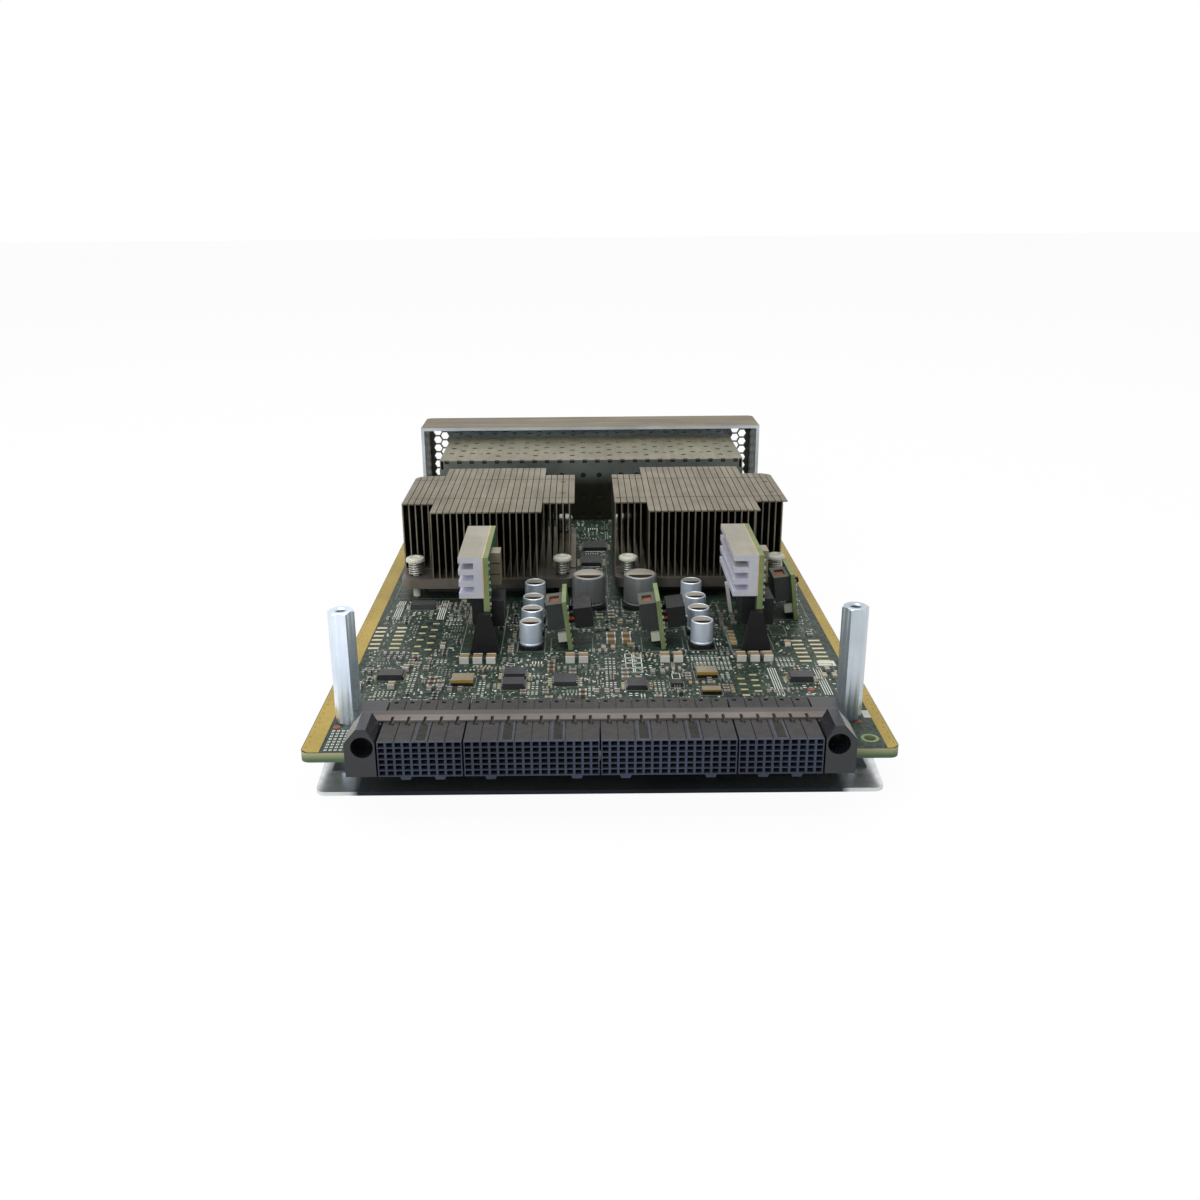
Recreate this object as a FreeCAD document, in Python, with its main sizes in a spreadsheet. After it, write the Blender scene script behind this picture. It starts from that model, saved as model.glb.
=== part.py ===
import FreeCAD, Part
import math
import os
import re

import Sketcher
from FreeCAD import Placement, Rotation, Vector

# Switch expansion module: a plug-in board on a flat tray, with a stacked port cage
# behind a folded faceplate and a right-angle backplane connector at the other end.
# Millimetres. X runs across the module, Y from the backplane connector to the
# faceplate, Z up from the underside of the tray. The origin is the middle of the
# footprint. Distances named _y are measured from the board's near edge, and
# heights named _rise or _height from the board's top face.

os.makedirs("parts", exist_ok=True)
doc = FreeCAD.newDocument("switch_expansion_module")

DRIVING_SIZES = {
    # Main board
    "board_front": -127.7,
    "board_inset": 1.0,
    "board_length": 240.0,
    "board_thick": 2.4,
    "board_corner": 2.2,
    "board_neck_length": 11.5,
    "board_clearance": 0.45,
    "tooling_hole_radius": 1.35,
    "tooling_hole_inset": 5.75,
    "tooling_hole_y": 5.2,
    # Tray and what holds the board on it
    "tray_sheet": 1.0,
    "tray_inset": 2.75,
    "tray_nose_inset": 1.1,
    "tray_taper": 18.0,
    "tray_corner": 2.5,
    "tray_flange_inset": 14.5,
    "tray_flange_rise": 8.0,
    "film_thick": 0.3,
    "film_inset": 3.0,
    "film_start_y": 9.7,
    "film_end_inset": 4.3,
    "spacer_height": 7.6,
    "spacer_radius": 2.75,
    "screw_radius": 1.5,
    "screw_clearance": 0.1,
    "screw_length": 7.5,
    "screw_head_radius": 2.75,
    "screw_head_height": 1.8,
    "rear_screw_inset": 4.95,
    "rear_screw_end_inset": 12.0,
    "rear_screw_pitch": 51.0,
    # Hex standoffs beside the connector
    "standoff_inset": 8.25,
    "standoff_y": 17.0,
    "standoff_flats": 5.5,
    "standoff_thread_radius": 1.25,
    "standoff_thread_depth": 8.0,
    "module_rise": 28.3,
    # Faceplate
    "face_width": 138.5,
    "face_sheet": 1.2,
    "face_bend": 2.4,
    "face_gap": 11.2,
    "flange_depth": 20.6,
    "vent_radius": 1.75,
    "vent_pitch": 3.5,
    "vent_column_pitch": 3.05,
    "vent_inset": 4.15,
    "vent_top_margin": 5.7,
    # Stacked port cage
    "cage_inset": 11.85,
    "cage_sheet": 0.4,
    "cage_rise": 23.45,
    "cage_length": 59.7,
    "cage_proud": 1.5,
    "cage_fit": 0.35,
    "divider_sheet": 0.5,
    "floor_sheet": 0.3,
    "port_height": 8.9,
    "separator_sheet": 0.4,
    "cage_hole_radius": 1.0,
    "cage_hole_offset": 4.1,
    "cage_hole_row_pitch": 4.7,
    "cage_hole_first_row": 8.1,
    "notch_width": 1.7,
    "notch_length": 1.2,
    "notch_depth": 1.2,
    "corner_notch_width": 1.4,
    "corner_notch_height": 3.3,
    "boss_radius": 0.8,
    "boss_height": 0.2,
    "boss_row": 12.3,
    "rear_hole_rise": 1.1,
    "rear_hole_pitch": 7.7,
    "connector_body_width": 11.6,
    "connector_body_depth": 13.0,
    "connector_nose_depth": 6.0,
    "connector_nose_height": 3.6,
    "card_slot_height": 1.3,
    "gasket_thick": 0.3,
    "gasket_band": 1.6,
    "gasket_finger_width": 2.6,
    "gasket_finger_length": 1.4,
    "gasket_tab_radius": 1.8,
    "gasket_tab_length": 2.6,
    # Switching chips and their heat sinks
    "sink_left_x": -32.7,
    "sink_right_x": 33.6,
    "sink_y": 129.8,
    "chip_size": 40.0,
    "chip_lid": 33.0,
    "chip_substrate": 1.3,
    "chip_height": 3.9,
    "base_width": 54.0,
    "base_length": 57.2,
    "base_thick": 2.9,
    "base_corner": 3.0,
    "fin_pitch": 2.0,
    "fin_sheet": 0.4,
    "fin_gap": 0.22,
    "fin_body_length": 36.4,
    "fin_stub_width": 34.0,
    "fin_corner": 4.2,
    "fin_seam_width": 0.35,
    "fin_seam_depth": 0.2,
    "fin_seam_offset": 12.3,
    "pin_offset_x": 22.9,
    "pin_offset_y": 23.2,
    "pin_head_radius": 2.95,
    "pin_head_height": 1.4,
    "pin_rise": 12.6,
    "pin_radius": 1.2,
    "pin_clearance": 0.2,
    "pin_barb_radius": 1.6,
    "pin_barb_length": 2.6,
    "pin_spring_radius": 1.95,
    "pin_spring_wire": 0.25,
    "pin_spring_turns": 5.0,
    # Backplane connector
    "nose_overhang": 11.5,
    "connector_depth": 21.6,
    "connector_rise": 8.3,
    "connector_inset": 12.9,
    "row_pitch": 1.352,
    "lowest_row_rise": 0.9,
    "aperture_width": 1.3,
    "aperture_height": 1.04,
    "aperture_depth": 3.0,
    "module_gap": 0.4,
    "connector_seat": 0.05,
    "seam_width": 0.24,
    "seam_depth": 0.3,
    "front_seam_length": 9.6,
    "rear_notch_width": 0.95,
    "rear_notch_length": 0.9,
    "stiffener_start": 10.2,
    "stiffener_depth": 5.2,
    "stiffener_thick": 0.35,
    "stiffener_slot_width": 0.7,
    "stiffener_slot_length": 2.3,
    "guide_width": 6.7,
    "guide_front_depth": 8.6,
    "guide_shoulder_rise": 8.1,
    "guide_apex_rise": 11.4,
    "guide_apex_width": 2.2,
    "guide_bore_radius": 2.45,
    "guide_bore_rise": 7.1,
    "guide_bore_depth": 7.6,
    # Upright power modules
    "power_left_x": -30.6,
    "power_right_x": 43.9,
    "power_front_y": 60.6,
    "power_length": 31.0,
    "power_board_thick": 1.6,
    "power_rise": 26.8,
    "power_sink_bottom": 15.2,
    "power_sink_depth": 6.6,
    "power_sink_web": 2.5,
    "power_fin_count": 4,
    "power_fin_thick": 1.55,
    "power_core_depth": 3.6,
    "power_core_height": 9.4,
    "power_core_length": 12.0,
    "power_core_start": 3.0,
    "power_capacitor_depth": 2.6,
    "power_capacitor_height": 2.9,
    "power_capacitor_length": 5.4,
    "power_capacitor_start": 9.0,
    "power_choke_length": 10.0,
    "support_base_width": 8.0,
    "support_top_width": 3.0,
    "support_height": 11.4,
    "support_depth": 2.9,
    "support_shift": 0.8,
    # Upright regulator modules
    "regulator_one_x": -7.6,
    "regulator_two_x": 18.1,
    "regulator_three_x": 58.5,
    "regulator_front_y": 59.9,
    "regulator_set_back": 21.6,
    "regulator_thick": 1.2,
    "regulator_length": 15.2,
    "regulator_rise": 14.2,
    "regulator_lean": 7.0,
    "choke_depth": 4.7,
    "choke_length": 9.4,
    "choke_height": 7.5,
    "choke_rise": 5.7,
    "choke_start": 1.9,
    "choke_window_width": 2.7,
    "choke_window_length": 4.4,
    "choke_window_depth": 1.6,
    "inductor_depth": 5.0,
    "inductor_length": 9.8,
    "inductor_height": 5.8,
    "inductor_rise": 5.4,
    "inductor_lead": 1.5,
    # Can capacitors
    "small_can_radius": 3.15,
    "small_can_height": 7.7,
    "large_can_radius": 5.0,
    "large_can_height": 10.2,
    "can_base_height": 1.1,
    "can_base_lip": 0.15,
    "can_groove_depth": 0.3,
    "can_left_x": -18.0,
    "can_right_x": 29.4,
    "large_can_y": 95.8,
    "large_can_left_x": -1.7,
    "large_can_right_x": 13.9,
    # Captive faceplate screws
    "captive_inset": 5.95,
    "captive_height": 5.2,
    "captive_radius": 1.5,
    "captive_clearance": 0.1,
    "captive_travel": 4.5,
    "captive_tip": 5.0,
    "knob_radius": 4.1,
    "knob_length": 7.0,
    "knob_flute_radius": 0.45,
    "knob_flutes": 18,
    "slot_width": 1.1,
    "slot_depth": 1.4,
    "ferrule_radius": 2.9,
    "ferrule_wall": 1.2,
    "ferrule_proud": 1.5,
    "ferrule_collar": 0.9,
    "ferrule_collar_height": 1.0,
    "ring_radius": 2.7,
    "ring_thick": 0.6,
    "ring_play": 0.05,
    "groove_radius": 1.1,
    "spring_solid": 1.5,
    "spring_wire": 0.3,
    "spring_turns": 4.0,
}

COLUMNS = 8
CONTACT_ROWS = 6
MODULE_COLUMNS = [10, 16, 16, 10]
SMALL_CAN_ROWS = [62.8, 73.0, 83.2, 96.2]
VENTS_PER_COLUMN = 7
NOTCHES_PER_COLUMN = 3
REAR_HOLE_ROWS = 3
FACETS_PER_TURN = 12
WIRE_SIDES = 6

# Sizes that follow from the driving ones, so the pieces keep together
FOLLOWING_SIZES = {
    "board_width": "face_width - 2 * board_inset",
    "board_rear_start": "board_length - board_neck_length",
    "tooling_hole_x": "board_width / 2 - tooling_hole_inset",
    "rear_screw_x": "board_width / 2 - rear_screw_inset",
    "rear_screw_y": "board_length - rear_screw_end_inset - rear_screw_pitch",
    "standoff_x": "board_width / 2 - standoff_inset",
    "tray_width": "face_width - 2 * tray_inset",
    "tray_nose_width": "tray_width - 2 * tray_nose_inset",
    "tray_flange_width": "tray_width - 2 * tray_flange_inset",
    "film_width": "tray_width - 2 * film_inset",
    "film_length": "board_length - film_end_inset - film_start_y",
    "face_inner_y": "board_length + face_gap",
    "vent_outer_x": "face_width / 2 - vent_inset",
    "column_pitch": f"(face_width - 2 * cage_inset - 2 * cage_sheet) / {COLUMNS}",
    "cage_rear_y": "face_inner_y - cage_length",
    "contact_pitch": (f"(board_width - 2 * connector_inset - 2 * guide_width"
                      f" - {len(MODULE_COLUMNS) + 1} * module_gap) / {sum(MODULE_COLUMNS)}"),
    "captive_x": "face_width / 2 - captive_inset",
}

sheet = doc.addObject("Spreadsheet::Sheet", "sizes")
CELLS = DRIVING_SIZES | {alias: "=" + text for alias, text in FOLLOWING_SIZES.items()}
for row_number, (alias, size) in enumerate(CELLS.items(), start=1):
    sheet.set(f"A{row_number}", alias)
    sheet.set(f"B{row_number}", str(size))
    sheet.setAlias(f"B{row_number}", alias)
doc.recompute()

NODES = {}


def formula(text):
    """Point every size named in the text at its cell of the sheet."""
    return re.sub(r"[a-z_]+", lambda word: cell_of(word.group()), str(text))


def cell_of(word):
    return "sizes." + word if word in CELLS else word


def size(text):
    """Work out a length from the sheet, for shapes that are built by hand."""
    return float(sheet.evalExpression(formula(text)))


def bind(feature, **properties):
    """Tie a feature's properties to the sheet. Double underscores stand for dots."""
    for name, text in properties.items():
        feature.setExpression(name.replace("__", "."), formula(text))
    return feature


def place(feature, x, y, z):
    return bind(feature, Placement__Base__x=x, Placement__Base__y=y, Placement__Base__z=z)


def node(feature, label):
    """Name a finished sub-part."""
    feature.Label = label
    NODES[label] = feature
    return feature


# Reference heights and distances, as formulas

BOARD_TOP = "(tray_sheet + spacer_height + board_thick)"
BOARD_UNDER = "(tray_sheet + spacer_height)"
FACE_INNER = "(board_front + face_inner_y)"
FACE_OUTER = "(board_front + face_inner_y + face_sheet)"
CAGE_REAR = "(board_front + cage_rear_y)"
CAGE_FRONT = f"({FACE_OUTER} + cage_proud)"
CAGE_WIDTH = f"({COLUMNS} * column_pitch + 2 * cage_sheet)"
NOSE_FRONT = "(board_front - nose_overhang)"


def along(distance):
    """Y of a distance from the board's near edge."""
    return f"(board_front + {distance})"


def above(height):
    """Z of a height over the board's top face."""
    return f"({BOARD_TOP} + {height})"


# Building blocks

def block(name, corner, sides):
    """A box from its lowest corner and its three sides, all as formulas."""
    box = doc.addObject("Part::Box", name)
    bind(box, Length=sides[0], Width=sides[1], Height=sides[2])
    return place(box, *corner)


def middle_block(name, middle_x, low_y, low_z, sides):
    """A box that is centred on middle_x."""
    return block(name, (f"{middle_x} - ({sides[0]}) / 2", low_y, low_z), sides)


def rod(name, foot, radius, length):
    """An upright cylinder from the middle of its foot."""
    cylinder = doc.addObject("Part::Cylinder", name)
    bind(cylinder, Radius=radius, Height=length)
    return place(cylinder, *foot)


def rod_along_y(name, start, radius, length):
    """A cylinder that runs along +Y from its start."""
    cylinder = doc.addObject("Part::Cylinder", name)
    cylinder.Placement = Placement(Vector(), Rotation(Vector(1, 0, 0), -90))
    bind(cylinder, Radius=radius, Height=length)
    return place(cylinder, *start)


def hexagon(name, foot, across_flats, length):
    prism = doc.addObject("Part::Prism", name)
    prism.Polygon = 6
    bind(prism, Circumradius=f"({across_flats}) / 2 / cos(30 deg)", Height=length)
    return place(prism, *foot)


def cut(name, base, tools):
    """The base less one or more tools."""
    result = doc.addObject("Part::Cut", name)
    result.Base = base
    result.Tool = tools[0] if len(tools) == 1 else group(name + "_tools", tools)
    return result


def fuse(name, pieces):
    result = doc.addObject("Part::MultiFuse", name)
    result.Shapes = pieces
    return result


def group(name, pieces):
    """Separate solids that are kept side by side."""
    result = doc.addObject("Part::Compound", name)
    result.Links = pieces
    return result


def feature_from(name, shape, place_at=None):
    """A sub-part whose shape is worked out from the sheet's sizes in this file."""
    result = doc.addObject("Part::Feature", name)
    result.Shape = shape
    if place_at is not None:
        place(result, *place_at)
    return result


def slab(points, depth):
    """A closed outline swept along a vector."""
    corners = [Vector(*point) for point in points]
    outline = Part.makePolygon(corners + corners[:1])
    return Part.Face(outline).extrude(Vector(*depth))


def circle_wire(centre, normal, radius):
    return Part.Wire(Part.makeCircle(radius, Vector(*centre), Vector(*normal)))


def rectangle_wire(corner, across, up):
    corner, across, up = Vector(*corner), Vector(*across), Vector(*up)
    return Part.makePolygon([corner, corner + across, corner + across + up, corner + up, corner])


def pierced_plate(outline, holes, depth):
    """A flat plate with holes, swept along a vector."""
    face = Part.makeFace([outline] + holes, "Part::FaceMakerBullseye")
    return face.extrude(Vector(*depth))


def coil(radius, wire, height, turns):
    """A helical spring about +Z in flat facets, from the lowest turn's wire centre at zero."""
    steps = round(turns * FACETS_PER_TURN)
    rings = []
    for step in range(steps + 1):
        turn = 2 * math.pi * turns * step / steps
        outward = Vector(math.cos(turn), math.sin(turn), 0)
        centre = outward * radius + Vector(0, 0, height * step / steps)
        angles = [2 * math.pi * side / WIRE_SIDES for side in range(WIRE_SIDES)]
        rings.append([centre + outward * (wire * math.cos(angle)) + Vector(0, 0, wire * math.sin(angle))
                      for angle in angles])
    facets = [rings[0], rings[-1]]
    for low, high in zip(rings, rings[1:]):
        for side in range(WIRE_SIDES):
            following = (side + 1) % WIRE_SIDES
            facets.append([low[side], low[following], high[following]])
            facets.append([low[side], high[following], high[side]])
    shell = Part.makeShell([Part.Face(Part.makePolygon(facet + facet[:1])) for facet in facets])
    shell.sewShape()
    spring = Part.Solid(shell)
    if spring.Volume < 0:
        spring.reverse()
    return spring


def new_body(name):
    return doc.addObject("PartDesign::Body", name)


def new_sketch(body, name, role, offset="0"):
    """A sketch on one of the body's own origin planes, lifted by a formula."""
    plane = next(item for item in body.Origin.OriginFeatures if item.Role == role)
    sketch = body.newObject("Sketcher::SketchObject", name)
    sketch.AttachmentSupport = [(plane, "")]
    sketch.MapMode = "FlatFace"
    bind(sketch, AttachmentOffset__Base__z=offset)
    return sketch


def fix_point(sketch, edge, end, x, y):
    """Hold one end of an edge at formulas measured from the sketch's origin."""
    for kind, text in (("DistanceX", x), ("DistanceY", y)):
        at = sketch.addConstraint(Sketcher.Constraint(kind, -1, 1, edge, end, size(text)))
        sketch.setExpression(f"Constraints[{at}]", formula(text))


def draw_outline(sketch, corners):
    """A closed run of straight lines with its corners at formulas."""
    points = [Vector(size(x), size(y), 0) for x, y in corners]
    first = sketch.GeometryCount
    for start, end in zip(points, points[1:] + points[:1]):
        sketch.addGeometry(Part.LineSegment(start, end), False)
    for step in range(len(points)):
        following = first + (step + 1) % len(points)
        sketch.addConstraint(Sketcher.Constraint("Coincident", first + step, 2, following, 1))
    for step, (x, y) in enumerate(corners):
        fix_point(sketch, first + step, 1, x, y)


def draw_circle(sketch, x, y, radius):
    centre = Vector(size(x), size(y), 0)
    edge = sketch.addGeometry(Part.Circle(centre, Vector(0, 0, 1), size(radius)), False)
    at = sketch.addConstraint(Sketcher.Constraint("Radius", edge, size(radius)))
    sketch.setExpression(f"Constraints[{at}]", formula(radius))
    fix_point(sketch, edge, 3, x, y)


def pad(body, sketch, name, length):
    result = body.newObject("PartDesign::Pad", name)
    result.Profile = sketch
    return bind(result, Length=length)


def pocket_through(body, sketch, name):
    """Cut a sketch right through the body, both ways from its plane."""
    result = body.newObject("PartDesign::Pocket", name)
    result.Profile = sketch
    result.Type = "ThroughAll"
    result.Midplane = True
    return result


def round_upright_edges(body, base, name, radius, wanted):
    """Fillet the upright edges that a test on their middle point picks."""
    doc.recompute()
    edges = []
    for number, edge in enumerate(base.Shape.Edges, start=1):
        upright = abs(edge.Vertexes[0].Z - edge.Vertexes[-1].Z) > edge.Length * 0.99
        if upright and wanted(edge.CenterOfMass):
            edges.append(f"Edge{number}")
    result = body.newObject("PartDesign::Fillet", name)
    result.Base = (base, edges)
    return bind(result, Radius=radius)


# Places that several pieces share

REAR_SCREWS = [
    (f"{side} * rear_screw_x", along(f"rear_screw_y + {step} * rear_screw_pitch"))
    for side in (-1, 1) for step in (0, 1)
]
STANDOFFS = [(f"{side} * standoff_x", along("standoff_y")) for side in (-1, 1)]
SINKS = {"left": "sink_left_x", "right": "sink_right_x"}
PUSH_PINS = [
    (f"({middle} + {across} * pin_offset_x)", along(f"sink_y + {deep} * pin_offset_y"))
    for middle in SINKS.values() for across in (-1, 1) for deep in (-1, 1)
]


# Main board, tray and the film between them

def main_board():
    body = new_body("main_board")
    outline = new_sketch(body, "board_outline", "XY_Plane", BOARD_UNDER)
    near, step, far = along("0"), along("board_rear_start"), along("board_length")
    half, rear_half = "(board_width / 2)", "(face_width / 2 - face_sheet - board_clearance)"
    draw_outline(outline, [(f"-{half}", near), (half, near), (half, step), (rear_half, step),
                           (rear_half, far), (f"-{rear_half}", far), (f"-{rear_half}", step),
                           (f"-{half}", step)])
    panel = pad(body, outline, "board_panel", "board_thick")
    near_end = size(along("board_corner"))
    round_upright_edges(body, panel, "board_corners", "board_corner",
                        lambda point: point.y < near_end)
    holes = new_sketch(body, "board_holes", "XY_Plane", BOARD_UNDER)
    draw_circle(holes, "tooling_hole_x", along("tooling_hole_y"), "tooling_hole_radius")
    for x, y in STANDOFFS + REAR_SCREWS:
        draw_circle(holes, x, y, "screw_radius + screw_clearance")
    for x, y in PUSH_PINS:
        draw_circle(holes, x, y, "pin_radius + pin_clearance")
    pocket_through(body, holes, "board_drilling")
    node(body, "main_board")


def bottom_tray():
    body = new_body("bottom_tray")
    outline = new_sketch(body, "tray_outline", "XY_Plane")
    near, taper, far = along("0"), along("tray_taper"), FACE_INNER
    draw_outline(outline, [("-tray_nose_width / 2", near), ("tray_nose_width / 2", near),
                           ("tray_width / 2", taper), ("tray_width / 2", far),
                           ("-tray_width / 2", far), ("-tray_width / 2", taper)])
    floor = pad(body, outline, "tray_floor", "tray_sheet")
    near_end = size(along("tray_corner"))
    round_upright_edges(body, floor, "tray_corners", "tray_corner", lambda point: point.y < near_end)
    flange = new_sketch(body, "tray_flange_outline", "XY_Plane")
    back = f"{FACE_INNER} - tray_sheet"
    draw_outline(flange, [("-tray_flange_width / 2", back), ("tray_flange_width / 2", back),
                          ("tray_flange_width / 2", far), ("-tray_flange_width / 2", far)])
    pad(body, flange, "tray_flange", "tray_flange_rise")
    node(body, "bottom_tray")


def tray_film():
    body = new_body("tray_film")
    outline = new_sketch(body, "film_outline", "XY_Plane", "tray_sheet")
    near, far = along("film_start_y"), along("film_start_y + film_length")
    draw_outline(outline, [("-film_width / 2", near), ("film_width / 2", near),
                           ("film_width / 2", far), ("-film_width / 2", far)])
    pad(body, outline, "film_sheet", "film_thick")
    holes = new_sketch(body, "film_holes", "XY_Plane", "tray_sheet")
    for x, y in STANDOFFS + REAR_SCREWS:
        draw_circle(holes, x, y, "spacer_radius + screw_clearance")
    pocket_through(body, holes, "film_cut_outs")
    node(body, "tray_film")


def board_fixings():
    spacers = []
    for number, (x, y) in enumerate(STANDOFFS + REAR_SCREWS, start=1):
        foot = (x, y, "tray_sheet")
        outside = rod(f"spacer_{number}", foot, "spacer_radius", "spacer_height")
        bore = rod(f"spacer_bore_{number}", foot, "screw_radius", "spacer_height")
        spacers.append(cut(f"spacer_sleeve_{number}", outside, [bore]))
    node(group("spacers", spacers), "tray_spacers")

    screws = []
    for number, (x, y) in enumerate(REAR_SCREWS, start=1):
        shank = rod(f"screw_shank_{number}", (x, y, f"{BOARD_TOP} - screw_length"),
                    "screw_radius", "screw_length")
        head = rod(f"screw_head_{number}", (x, y, BOARD_TOP), "screw_head_radius", "screw_head_height")
        recess = hexagon(f"screw_recess_{number}", (x, y, above("screw_head_height / 3")),
                         "screw_head_radius", "screw_head_height")
        screws.append(cut(f"board_screw_{number}", fuse(f"screw_blank_{number}", [shank, head]), [recess]))
    node(group("screws", screws), "board_screws")


def hex_standoff(label, x, y):
    """A tall hexagonal pillar with a stud below and a blind thread on top."""
    pillar = hexagon(label + "_pillar", (x, y, BOARD_TOP), "standoff_flats", "module_rise")
    stud = rod(label + "_stud", (x, y, f"{BOARD_TOP} - screw_length"), "screw_radius", "screw_length")
    thread = rod(label + "_thread", (x, y, above("module_rise - standoff_thread_depth")),
                 "standoff_thread_radius", "standoff_thread_depth")
    node(cut(label, fuse(label + "_blank", [pillar, stud]), [thread]), label)


# Folded faceplate with its captive screws

def faceplate():
    body = new_body("faceplate")
    outline = new_sketch(body, "face_outline", "XY_Plane")
    near = f"({FACE_INNER} - flange_depth)"
    top = above("module_rise")
    draw_outline(outline, [("-face_width / 2", near), ("face_width / 2", near),
                           ("face_width / 2", FACE_OUTER), ("-face_width / 2", FACE_OUTER)])
    shell = pad(body, outline, "face_shell", top)
    face_middle = size(f"{FACE_OUTER} - flange_depth / 2")
    round_upright_edges(body, shell, "face_bends", "face_bend",
                        lambda point: point.y > face_middle)

    hollow = new_sketch(body, "face_hollow", "XY_Plane")
    side = "(face_width / 2 - face_sheet)"
    past = f"({near} - face_sheet)"
    draw_outline(hollow, [(f"-{side}", past), (side, past), (side, FACE_INNER), (f"-{side}", FACE_INNER)])
    scoop = body.newObject("PartDesign::Pocket", "face_scoop")
    scoop.Profile = hollow
    scoop.Reversed = True
    bind(scoop, Length=f"{top} - face_sheet")

    window = new_sketch(body, "port_window", "XZ_Plane", f"-{FACE_OUTER}")
    half = f"({CAGE_WIDTH} / 2 + cage_fit)"
    low, high = above("-cage_fit"), above("cage_rise + cage_fit")
    draw_outline(window, [(f"-{half}", low), (half, low), (half, high), (f"-{half}", high)])
    for across in (-1, 1):
        draw_circle(window, f"{across} * captive_x", "captive_height", "ferrule_radius")
    opening = body.newObject("PartDesign::Pocket", "face_openings")
    opening.Profile = window
    opening.Reversed = True
    bind(opening, Length="face_sheet * 2")

    vents = []
    for column in range(4):
        side_sign = -1 if column < 2 else 1
        inner = 1 if column in (1, 2) else 0
        lower = 0.5 if column in (1, 3) else 0
        x = f"{side_sign} * (vent_outer_x - {inner} * vent_column_pitch)"
        for step in range(VENTS_PER_COLUMN):
            z = f"({top} - vent_top_margin - {step + lower} * vent_pitch)"
            vent = doc.addObject("Part::Prism", f"vent_{column}_{step}")
            vent.Polygon = 6
            vent.Placement = Placement(Vector(), Rotation(Vector(1, 0, 0), -90))
            bind(vent, Circumradius="vent_radius", Height="3 * face_sheet")
            vents.append(place(vent, x, f"{FACE_INNER} - face_sheet", z))
    node(cut("vented_faceplate", body, vents), "faceplate")


def captive_fastener(side, x):
    """Ferrule, screw with knob, retaining ring and spring at one end of the faceplate."""
    centre = (x, "captive_height")

    def turned(name, start, radius, length):
        return rod_along_y(f"{name}_{side}", (centre[0], start, centre[1]), radius, length)

    barrel = turned("ferrule_barrel", f"{FACE_INNER} - ferrule_collar_height", "ferrule_radius",
                    "ferrule_collar_height + face_sheet + ferrule_proud")
    collar = turned("ferrule_collar", f"{FACE_INNER} - ferrule_collar_height",
                    "ferrule_radius + ferrule_collar", "ferrule_collar_height")
    bore = turned("ferrule_bore", f"{FACE_INNER} - 2 * ferrule_collar_height",
                  "captive_radius + captive_clearance",
                  "3 * ferrule_collar_height + 2 * face_sheet + 2 * ferrule_proud")
    blank = fuse(f"ferrule_blank_{side}", [barrel, collar])
    node(cut(f"ferrule_{side}", blank, [bore]), f"captive_ferrule_{side}")

    ring_start = f"({FACE_INNER} - ferrule_collar_height - ring_play - ring_thick)"
    knob_start = f"({FACE_OUTER} + ferrule_proud + captive_travel + spring_solid)"
    tip_start = f"({ring_start} - captive_tip)"
    shaft = turned("captive_shaft", tip_start, "captive_radius", f"{knob_start} - {tip_start}")
    knob = turned("captive_knob", knob_start, "knob_radius", "knob_length")
    screw = fuse(f"captive_blank_{side}", [shaft, knob])
    flutes = []
    for step in range(int(size("knob_flutes"))):
        turn = f"({step} * 360 deg / knob_flutes)"
        flutes.append(rod_along_y(f"flute_{side}_{step}",
                                  (f"{x} + knob_radius * cos({turn})",
                                   f"{knob_start} + knob_length / 6",
                                   f"captive_height + knob_radius * sin({turn})"),
                                  "knob_flute_radius", "knob_length * 2 / 3"))
    driver_slot = middle_block(f"driver_slot_{side}", x, f"{knob_start} + knob_length - slot_depth",
                               "captive_height - slot_width / 2",
                               ("3 * knob_radius", "2 * slot_depth", "slot_width"))
    groove_start = f"({ring_start} - ring_play)"
    groove_outer = turned("groove_outer", groove_start, "2 * captive_radius", "ring_thick + 2 * ring_play")
    groove_core = turned("groove_core", groove_start, "groove_radius", "ring_thick + 2 * ring_play")
    groove = cut(f"groove_{side}", groove_outer, [groove_core])
    node(cut(f"captive_{side}", screw, flutes + [driver_slot, groove]), f"captive_screw_{side}")

    disc = turned("ring_disc", ring_start, "ring_radius", "ring_thick")
    hole = turned("ring_hole", f"{ring_start} - ring_thick", "groove_radius + ring_play", "3 * ring_thick")
    node(cut(f"ring_{side}", disc, [hole]), f"retaining_ring_{side}")

    wire = size("spring_wire")
    radius = size("captive_radius + captive_clearance + spring_wire * 2")
    length = size("captive_travel + spring_solid - 2 * spring_wire")
    spring = coil(radius, wire, length, size("spring_turns"))
    spring.rotate(Vector(), Vector(1, 0, 0), -90)
    start = f"{FACE_OUTER} + ferrule_proud + spring_wire"
    node(feature_from(f"spring_{side}", spring, (x, start, "captive_height")), f"captive_spring_{side}")


# Stacked port cage

def cage_columns():
    """Formulas for the middle of each column of ports."""
    return [f"(({column} - {(COLUMNS - 1) / 2}) * column_pitch)" for column in range(COLUMNS)]


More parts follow.
